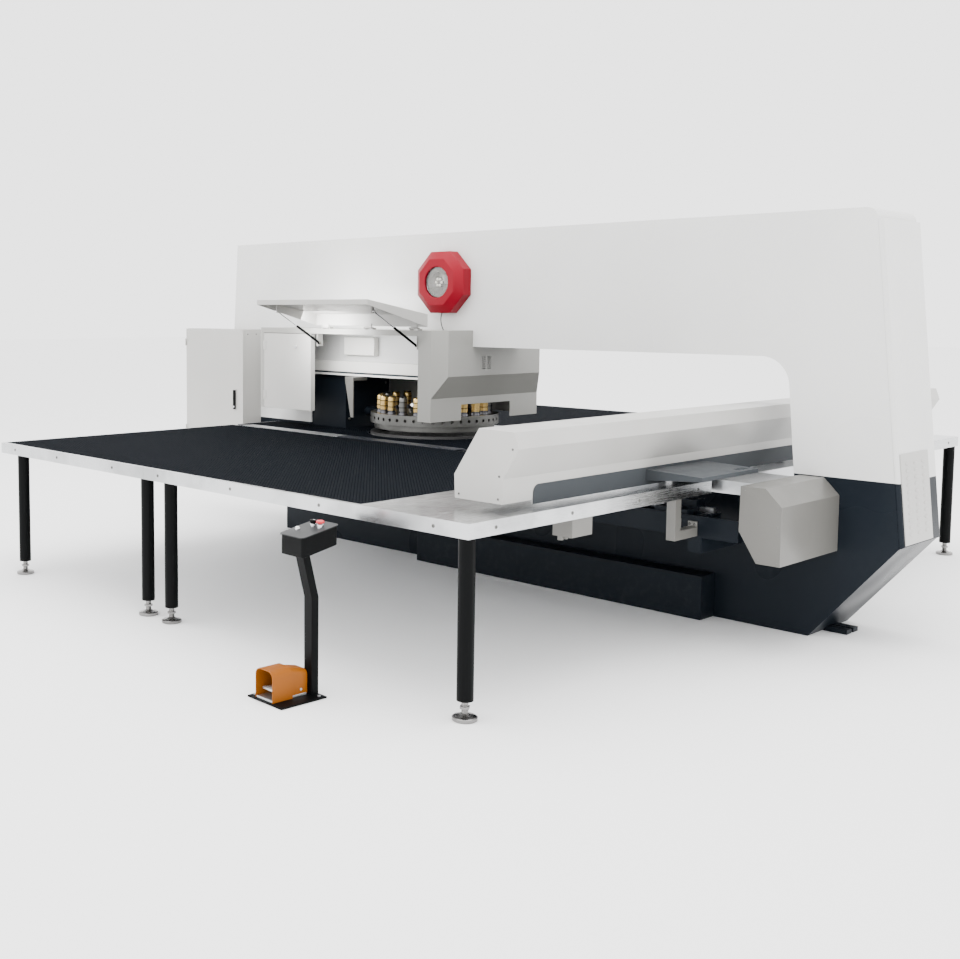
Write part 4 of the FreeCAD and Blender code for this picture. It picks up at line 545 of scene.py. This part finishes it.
# Punches. Hardened steel with a narrow tip and a ground guide that stands in the turret,
# under a cap with dark rings, most of them gold, that the ram strikes.
stations, station_radius = 22, 0.4
tip, guide, neck, cap = 0.012, 0.032, 0.024, 0.030
tool_gold = metal("tool_gold", (0.66, 0.46, 0.17), 0.30, (1, 1, 40), 30)
tool_grey = metal("tool_grey", (0.12, 0.12, 0.13), 0.36, (1, 1, 40), 30)
punch_rings = [(tip - 0.001, 0.930), (tip, 0.932), (tip, 0.967), (guide - 0.001, 0.9675),
               (guide, 0.969), (guide, 1.052), (guide - 0.001, 1.054), (neck, 1.0545),
               (neck, 1.068), (neck - 0.002, 1.0685)]
cap_rings = [(neck - 0.001, 1.066), (cap, 1.0665), (cap, 1.090), (cap - 0.002, 1.091),
             (cap - 0.002, 1.095), (cap, 1.096), (cap, 1.128), (cap - 0.002, 1.129),
             (cap - 0.002, 1.133), (cap, 1.134), (cap, 1.158), (cap - 0.004, 1.164),
             (neck - 0.002, 1.165), (neck - 0.002, 1.170), (0.009, 1.170), (0.008, 1.166)]


def round_spots(radius, count, first, height=0):
    """Places on a circle about the turrets' axis, the first of them at an angle."""
    angles = [math.radians(first + 360 * i / count) for i in range(count)]
    return [(radius * math.cos(angle), radius * math.sin(angle), height) for angle in angles]


under_ram, *standing = round_spots(station_radius, stations, 90)
grey_spots = [spot for i, spot in enumerate(standing, 1) if i % 5 == 2]
gold_spots = [spot for i, spot in enumerate(standing, 1) if i % 5 != 2]
shanks = copies(turned("shank", punch_rings, 24), standing, "punch_shanks")
finish(shanks, tool_grey)
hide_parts("punch_tools")
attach(shanks, "upper_turret")
for name, group, material in (("gold_caps", gold_spots, tool_gold),
                              ("grey_caps", grey_spots, turret_steel)):
    caps = copies(turned("cap", cap_rings, 24), group, name)
    finish(caps, material)
    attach(caps, "upper_turret")
band, disc = cap + 0.0005, cap - 0.003
for name, radius, low, high in (("low_bands", band, 1.0905, 1.0955),
                                ("high_bands", band, 1.1285, 1.1335),
                                ("head_discs", disc, 1.1635, 1.1698)):
    bands = copies(turned("ring", [(radius, low), (radius, high)], 24), standing, name)
    finish(bands, black_paint)
    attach(bands, "upper_turret")
shank = copies(turned("shank", punch_rings, 24), [under_ram], "active_shank")
finish(shank, tool_grey)
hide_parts("active_punch")
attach(shank, "active_punch")
active_cap = copies(turned("cap", cap_rings, 24), [under_ram], "active_cap")
finish(active_cap, tool_gold)
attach(active_cap, "active_punch")

# Screws. Button heads with a socket along the table rims, on the motor cover, the beam
# cover, the cabinet and the brackets, and bigger socket heads on the turret and the index
# housing. All are plated steel.
def facing(piece, axis):
    """Turn a piece drawn up along Z so that it points along X, Y, -X or -Y."""
    turns = {"X": ("Y", 90), "-X": ("Y", -90), "Y": ("X", -90), "-Y": ("X", 90)}
    letter, angle = turns[axis]
    piece.matrix_world = Matrix.Rotation(math.radians(angle), 4, letter)
    return settle(piece)


def screws(name, radius, proud, places, axis, body):
    """Button head screws of a radius at places on a face that looks along an axis."""
    rings = [(radius * 0.96, -0.0004), (radius, 0.0006), (radius * 0.94, proud * 0.55),
             (radius * 0.72, proud * 0.9), (radius * 0.5, proud), (radius * 0.42, proud),
             (radius * 0.40, proud * 0.35)]
    head = turned("head", rings, 12)
    if axis != "Z":
        head = facing(head, axis)
    heads = copies(head, places, name)
    finish(heads, turret_steel)
    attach(heads, body)


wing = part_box("wing_tables_right")
rim_z = (wing[0].z + wing[1].z) / 2
rim_first, rim_pitch = wing[0].x + 0.14, 0.56
rim_spots = [(side * (rim_first + rim_pitch * i), wing[1].y, rim_z)
             for side in (1, -1) for i in range(4)]
screws("rim_screws_back", 0.009, 0.003, rim_spots, "Y", "machine")
rim_spots = [(x, wing[0].y, z) for x, _, z in rim_spots]
screws("rim_screws_front", 0.009, 0.003, rim_spots, "-Y", "machine")
side_rows = (-1.30, -0.75, -0.10, 0.38, 1.05, 1.75, 2.50)
rim_spots = [(wing[1].x, y, rim_z) for y in side_rows]
screws("rim_screws_side", 0.009, 0.003, rim_spots, "X", "machine")
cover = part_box("motor_cover")
cover_spots = [(cover[1].x, y, z) for y in (cover[0].y + 0.11, cover[1].y - 0.018)
               for z in (cover[0].z + 0.02, cover[0].z + 0.20)]
cover_spots.append((cover[1].x, cover[0].y + 0.03, cover[1].z - 0.02))
screws("motor_cover_screws", 0.0045, 0.0015, cover_spots, "X", "machine")
beam_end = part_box("beam_cover")[1].x
end_holes = ((2.34, 0.935), (2.575, 0.935), (2.58, 1.04), (2.655, 1.17))
for name, x, axis in (("beam_end_screws", beam_end, "X"), ("beam_far_screws", -beam_end, "-X")):
    screws(name, 0.006, 0.002, [(x, y, z) for y, z in end_holes], axis, "cross_beam")
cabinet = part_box("cabinet_body")
cabinet_spots = [(x, cabinet[1].y, z) for x in (0.30, 0.39)
                 for z in (cabinet[0].z + 0.04, cabinet[1].z - 0.04)]
screws("cabinet_side_screws", 0.006, 0.002, cabinet_spots, "Y", "machine")
plate_top, boss_top = 1.040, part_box("upper_turret")[1].z
screws("turret_plate_screws", 0.012, 0.008, round_spots(0.205, 12, 15, plate_top), "Z",
       "upper_turret")
screws("turret_boss_screws", 0.012, 0.008, round_spots(0.118, 6, 0, boss_top), "Z",
       "upper_turret")
index_face, index_out = -0.709, 0.2
index_spots = [(x, index_face, z) for x in (-index_out, index_out)
               for z in (0.82, 0.95, 1.08, 1.22)]
screws("index_screws", 0.011, 0.008, index_spots, "Y", "machine")
bracket_low, bracket_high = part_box("table_brackets")
bracket_side, hole_height = 0.882, 0.065
bracket_spots = [(bracket_side, bracket_high.y - y, bracket_low.z + hole_height)
                 for y in (0.014, 0.042)]
screws("bracket_screws", 0.007, 0.004, bracket_spots, "X", "machine")

# Rear panel. A sheet laid on the sloping back, with three columns of eleven dimples that
# are pressed out of it.
columns, rows, column_pitch, row_pitch = 3, 11, 0.104, 0.037
first_column, first_row, dimple_sunk = 0.075, 0.625, 0.0012
panel_low, panel_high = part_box("louvre_panel")
panel_thick = 0.006
panel_lean = (panel_low.y + panel_thick - panel_high.y) / (panel_high.z - panel_low.z)
bpy.ops.object.select_all(action="DESELECT")
bpy.ops.mesh.primitive_uv_sphere_add(segments=16, ring_count=8, radius=0.017)
dimple = bpy.context.object
dimple.scale = (1.5, 0.38, 0.62)
dimple = settle(dimple)
bpy.ops.object.shade_smooth()
dimple_spots = []
for column in range(columns):
    for row in range(rows):
        z = first_row + row_pitch * row
        y = panel_high.y + panel_lean * (z - panel_low.z) - dimple_sunk
        dimple_spots.append((panel_low.x + first_column + column_pitch * column, y, z))
dimples = copies(dimple, dimple_spots, "panel_dimples")
finish(dimples, cover_paint)
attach(dimples, "machine")

# Work light. A deep red octagonal housing of sprayed castings bolted to the frame's side,
# with a round bezel, a spun metal dish with six lamps in it and a shallow glass dome.
bezel_thick, dome_rise, cell_ring, glass_gap = 0.006, 0.010, 0.024, 0.002
crimson_paint = spray_paint("crimson_paint", (0.20, 0.0005, 0.010), gloss=0.4, coat=0.0,
                            shine=0.15)
eased("lamp_housing", "machine", 0.004, crimson_paint)
lens_low, lens_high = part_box("lamp_lens")
lens_y, lens_z = (lens_low.y + lens_high.y) / 2, (lens_low.z + lens_high.z) / 2
lens_radius = (lens_high.y - lens_low.y) / 2
lens_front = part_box("lamp_housing")[1].x
bpy.ops.object.select_all(action="DESELECT")
bpy.ops.mesh.primitive_torus_add(major_segments=56, minor_segments=12,
                                 minor_radius=bezel_thick, major_radius=lens_radius + 0.001)
bpy.ops.object.shade_smooth()
bezel = copies(facing(settle(bpy.context.object), "X"),
               [(lens_front - 0.0065, lens_y, lens_z)], "lamp_bezel")
finish(bezel, crimson_paint)
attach(bezel, "machine")
lens_glass, _, _, shader = blank_material("lens_glass")
shader.inputs["Base Color"].default_value = (0.98, 0.97, 0.95, 1)
shader.inputs["Roughness"].default_value = 0.03
shader.inputs["Transmission Weight"].default_value = 1.0
shader.inputs["IOR"].default_value = 1.12
shader.inputs["Coat Weight"].default_value = 0.5
dome_radius, dome_foot = lens_radius - glass_gap, -0.004
dome_rings = [(dome_radius - 0.001, -0.008), (dome_radius, dome_foot)]
for step in range(1, 7):
    climb = step / 6.5 * math.pi / 2
    dome_rings.append((dome_radius * math.cos(climb), dome_foot + dome_rise * math.sin(climb)))
dome = facing(turned("dome", dome_rings, 48), "X")
dome = copies(dome, [(lens_front - 0.0075, lens_y, lens_z)], "lamp_dome")
finish(dome, lens_glass)
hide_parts("lamp_lens")
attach(dome, "machine")
dish_metal = metal("dish_metal", (0.20, 0.20, 0.195), 0.30, (20, 20, 20), 5)
dish = facing(turned("dish", [(lens_radius - 0.012, -0.030), (lens_radius - 0.008, -0.012),
                              (lens_radius - 0.012, -0.011), (0.045, -0.024),
                              (0.040, -0.026)], 48), "X")
dish = copies(dish, [(lens_front - 0.010, lens_y, lens_z)], "lamp_dish")
finish(dish, dish_metal)
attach(dish, "machine")
pale_enamel, nodes, links, shader = blank_material("pale_enamel")
links.new(mix(nodes, links, noise(nodes, links, 5, 3), (0.86, 0.85, 0.80),
              (0.93, 0.92, 0.88)), shader.inputs["Base Color"])
shader.inputs["Roughness"].default_value = 0.35
cell_spots = [(lens_front - 0.033, lens_y + y, lens_z + z)
              for y, z, _ in round_spots(cell_ring, 6, 0)]
cell = facing(turned("cell", [(0.009, -0.006), (0.009, 0.004), (0.006, 0.007)], 16), "X")
lights = copies(cell, cell_spots, "lamp_cells")
finish(lights, pale_enamel)
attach(lights, "machine")

# Inside the guard. A white cover on the head's side, the pale rail that carries the
# guard with a dark seam under it, and a pale bracket that tapers down beside the turret,
# whose arm and blade are drawn in the darkened cover grey that is painted shade.
# All are folded from sheet and screwed to the frame.
def block(name, low, high, material, body=None, width=0.003):
    """A block between two corners, with its edges rounded. It rides a body if named."""
    bpy.ops.object.select_all(action="DESELECT")
    bpy.ops.mesh.primitive_cube_add(size=1, location=[(a + b) / 2 for a, b in zip(low, high)])
    piece = bpy.context.object
    piece.name = name
    piece.scale = [b - a for a, b in zip(low, high)]
    settle(piece)
    soften(piece, width, 3)
    finish(piece, material)
    if body:
        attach(piece, body)
    return piece


head_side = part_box("frame")[1].x + 0.0002
rail_front, rail_back = -1.06, 0.30
arm_front, arm_back, arm_end = -0.551, -0.461, 0.401
bracket_foot, bracket_top, taper = 0.985, 1.2625, 0.7
block("head_cover", (head_side, -0.67, 1.452), (0.300, -0.341, 1.588), pale_enamel,
      "machine", 0.006)
block("guard_rail", (head_side, rail_front, 1.320), (0.290, rail_back, 1.402), pale_enamel,
      "machine")
block("rail_seam", (head_side, rail_front, 1.306), (0.284, rail_back, 1.3205), slate_paint,
      "machine", 0.001)
block("rail_lip", (head_side, rail_front, 1.292), (0.292, rail_back, 1.3065), pale_enamel,
      "machine", 0.001)
block("bracket_arm", (head_side, arm_front, 1.262), (arm_end, arm_back, 1.291),
      cover_painted_shade, "machine")
bracket = block("tool_bracket", (arm_end - 0.011, arm_front, bracket_foot),
                (arm_end, arm_back, bracket_top), cover_painted_shade)
for point in bracket.data.vertices:
    drop = (bracket_top - point.co.z) / (bracket_top - bracket_foot)
    point.co.y = arm_back + (point.co.y - arm_back) * (1 - taper * drop)
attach(bracket, "machine")

# Cabinet and guard fittings. A moulded swing handle with a chromed lock barrel on the
# cabinet's door, and the round chromed lock of the guard's door with its keyhole.
eased("cabinet_handle", "cabinet_handle", 0.005, black_paint)
handle_low, handle_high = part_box("cabinet_handle")
barrel = facing(turned("barrel", [(0.0075, -0.002), (0.0075, 0.0015), (0.006, 0.0025),
                                  (0.003, 0.0025), (0.0025, 0.001)], 20), "X")
barrel = copies(barrel, [(handle_high.x, (handle_low.y + handle_high.y) / 2,
                          handle_low.z + 0.020)], "handle_lock")
finish(barrel, chrome)
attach(barrel, "cabinet_handle")
guard_lock = facing(turned("lock", [(0.0125, -0.002), (0.0125, 0.0005), (0.0115, 0.002),
                                    (0.004, 0.002), (0.0035, 0.0005)], 24), "X")
door_face, lock_y, lock_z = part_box("guard_door")[1].x, -0.898, 1.514
guard_lock = copies(guard_lock, [(door_face, lock_y, lock_z)], "guard_lock")
finish(guard_lock, chrome)
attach(guard_lock, "guard_door")

# Control stand. Welded and sprayed black steel: a plate bolted to the floor, a bent post
# and a rounded head that slopes to the user, under a thin lid. Its moulded controls stand
# in chromed collars. Every piece is drawn square to the stand and then turned with it.
stand_spot, stand_turn = (3.091, 1.906, 0), math.radians(-2)
head_back, head_front, slope = -0.201, 0.009, 0.040
head_low, head_top, head_middle, head_half = 0.672, 0.767, 0.042, 0.0825
lid_thick, lid_side, lid_back, lid_front = 0.005, 0.006, 0.006, 0.008
plate_face, bolt_out = 0.008, 0.105


def to_stand(piece, body="machine"):
    """Turn a piece with the stand, move it there and let it ride a body."""
    piece.matrix_world = (Matrix.Translation(stand_spot)
                          @ Matrix.Rotation(stand_turn, 4, "Z"))
    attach(settle(piece), body)


def sloped_box(name, back, front, half, low, high, corner):
    """A box about the head's middle line, rounded in plan, whose back end is higher."""
    bpy.ops.object.select_all(action="DESELECT")
    bpy.ops.mesh.primitive_cube_add(size=1, location=((back + front) / 2, head_middle,
                                                      (low + high) / 2))
    piece = bpy.context.object
    piece.name = name
    piece.scale = (front - back, 2 * half, high - low)
    settle(piece)
    points = piece.data.vertices
    chosen(piece, lambda edge: abs(points[edge.vertices[0]].co.z
                                   - points[edge.vertices[1]].co.z) > 0.5 * (high - low))
    bpy.ops.mesh.bevel(offset=corner, segments=5)
    bpy.ops.object.mode_set(mode="OBJECT")
    for point in piece.data.vertices:
        point.co.z += slope * (front - point.co.x) / (front - back)
    return piece


head = soften(sloped_box("head_body", head_back, head_front, head_half, head_low,
                         head_top - lid_thick, 0.016), 0.003, 3)
finish(head, black_paint)
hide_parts("stand_head")
to_stand(head)
lid = soften(sloped_box("head_lid", head_back - lid_back, head_front + lid_front,
                        head_half + lid_side, head_top - lid_thick, head_top, 0.022), 0.0015)
finish(lid, spray_paint("lid_paint", (0.010, 0.011, 0.012), coat=0.0, shine=0.25))
to_stand(lid)
eased("stand_post", "machine", 0.005, black_paint, 3)


def plastic(name, colour, roughness):
    """Moulded plastic of one colour."""
    material, _, _, shader = blank_material(name)
    shader.inputs["Base Color"].default_value = (*colour, 1)
    shader.inputs["Roughness"].default_value = roughness
    return material


red_plastic = plastic("red_plastic", (0.55, 0.006, 0.02), 0.3)
white_plastic = plastic("white_plastic", (0.88, 0.88, 0.86), 0.35)
stop_spot, knob_spot, button_spot = (-0.130, 0.080, 0), (-0.130, 0.030, 0), (-0.060, 0.0, 0)
stop_rings = [(0.009, 0.780), (0.009, 0.812), (0.014, 0.8122), (0.0192, 0.8145),
              (0.020, 0.818), (0.0185, 0.8235), (0.013, 0.8270), (0.005, 0.828)]
knob_rings = [(0.0085, 0.780), (0.0085, 0.8085), (0.0160, 0.809), (0.0165, 0.811),
              (0.0158, 0.821), (0.0145, 0.8235)]
button_rings = [(0.0088, 0.770), (0.0088, 0.7930), (0.0075, 0.7948)]
for node, slot, material, spot, rings in (
        ("stop_button", "red_plastic", red_plastic, stop_spot, stop_rings),
        ("selector_knob", "black_plastic", black_paint, knob_spot, knob_rings),
        ("push_button", "white_plastic", white_plastic, button_spot, button_rings)):
    control = copies(turned(node + "_shown", rings, 32), [spot], node + "_shown")
    finish(control, material)
    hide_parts(node)
    to_stand(control, node)
collar_height, collar_round, collar_lip = 0.024, 0.0015, 0.003
for name, spot, radius, top in (("stop_collar", stop_spot, 0.0165, 0.8095),
                                ("knob_collar", knob_spot, 0.0150, 0.8065),
                                ("button_collar", button_spot, 0.0130, 0.7885)):
    rings = [(radius, top - collar_height), (radius, top - collar_round),
             (radius - collar_round, top), (radius - collar_lip, top)]
    collar = copies(turned(name, rings, 32), [spot], name)
    finish(collar, chrome)
    to_stand(collar)
pointer = block("knob_pointer", (-0.1315, 0.0305, 0.8225), (-0.1285, 0.0435, 0.8242),
                white_plastic, width=0.0004)
to_stand(pointer, "selector_knob")
bolt_spots = [(-bolt_out, -bolt_out, plate_face), (-bolt_out, bolt_out, plate_face),
              (bolt_out, -bolt_out, plate_face)]
plate_bolts = copies(hex_nut("bolt", 0.0085, -0.0005, 0.006), bolt_spots, "plate_bolts")
finish(plate_bolts, bright_steel)
to_stand(plate_bolts)

# Foot pedal. An orange moulded hood, arched at the mouth with a lower rear end, on a
# pale alloy floor, over a ribbed alloy tread that turns with the pedal on its pin.
orange_paint = spray_paint("orange_paint", (0.25, 0.070, 0.0002), gloss=0.45, coat=0.0,
                           shine=0.25)
alloy = metal("pedal_alloy", (0.60, 0.61, 0.62), 0.40, (10, 10, 10), 14)
hood_front, hood_step, hood_rear = 0.127, 0.008, -0.085
hood_y, hood_half, hood_low, hood_top = -0.012, 0.064, 0.008, 0.153
arch, step_in, hood_wall, rear_width, rear_height = 0.034, 0.007, 0.004, 0.97, 0.86
touch = 0.001
bpy.ops.object.select_all(action="DESELECT")
bpy.ops.mesh.primitive_cube_add(size=1, location=((hood_front + hood_step) / 2, hood_y,
                                                  (hood_low + hood_top) / 2))
hood = bpy.context.object
hood.name = "pedal_hood"
hood.scale = (hood_front - hood_step, 2 * hood_half, hood_top - hood_low)
settle(hood)
points = hood.data.vertices
chosen(hood, lambda edge: min(points[i].co.z for i in edge.vertices) > hood_top - touch
       and abs(points[edge.vertices[0]].co.y - points[edge.vertices[1]].co.y) < touch)
bpy.ops.mesh.bevel(offset=arch, segments=6)
bpy.ops.object.mode_set(mode="OBJECT")
chosen(hood, lambda point: abs(point.co.x - hood_step) < touch, "VERT")
bpy.ops.mesh.select_mode(type="FACE")
bpy.ops.mesh.inset(thickness=step_in)
bpy.ops.mesh.extrude_region_move(
    TRANSFORM_OT_translate={"value": (hood_rear - hood_step, 0, 0)})
bpy.ops.transform.resize(value=(1, rear_width, rear_height),
                         center_override=(hood_rear, hood_y, hood_low))
bpy.ops.mesh.select_all(action="DESELECT")
bpy.ops.object.mode_set(mode="OBJECT")
for face in hood.data.polygons:
    mouth = face.normal.x > 0.9 and face.center.x > hood_front - touch
    face.select = mouth or (face.normal.z < -0.9 and face.center.z < hood_low + touch)
bpy.ops.object.mode_set(mode="EDIT")
bpy.ops.mesh.delete(type="FACE")
bpy.ops.object.mode_set(mode="OBJECT")
wall = hood.modifiers.new("wall", "SOLIDIFY")
wall.thickness = hood_wall
wall.offset = -1
bpy.ops.object.modifier_apply(modifier=wall.name)
soften(hood, 0.0012, 2, 35)
finish(hood, orange_paint)
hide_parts("pedal_guard")
to_stand(hood)
floor_half, rib_half, rib_width, rib_height = hood_half - 0.006, 0.044, 0.004, 0.0035
pedal_floor = block("pedal_floor", (hood_rear + 0.006, hood_y - floor_half, 0.0082),
                    (hood_front - 0.002, hood_y + floor_half, 0.0195), alloy, width=0.002)
to_stand(pedal_floor)
finish(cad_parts["foot_pedal"], alloy)
rib = block("rib", (0, hood_y - rib_half, 0), (rib_width, hood_y + rib_half, rib_height),
            alloy, width=0.0008)
rib_pitch, rib_rise, first_rib = 0.012, 0.0009, (0.012, 0.0505)
rib_spots = [(first_rib[0] + rib_pitch * i, 0, first_rib[1] + rib_rise * i)
             for i in range(7)]
ribs = copies(rib, rib_spots, "tread_ribs")
to_stand(ribs, "foot_pedal")
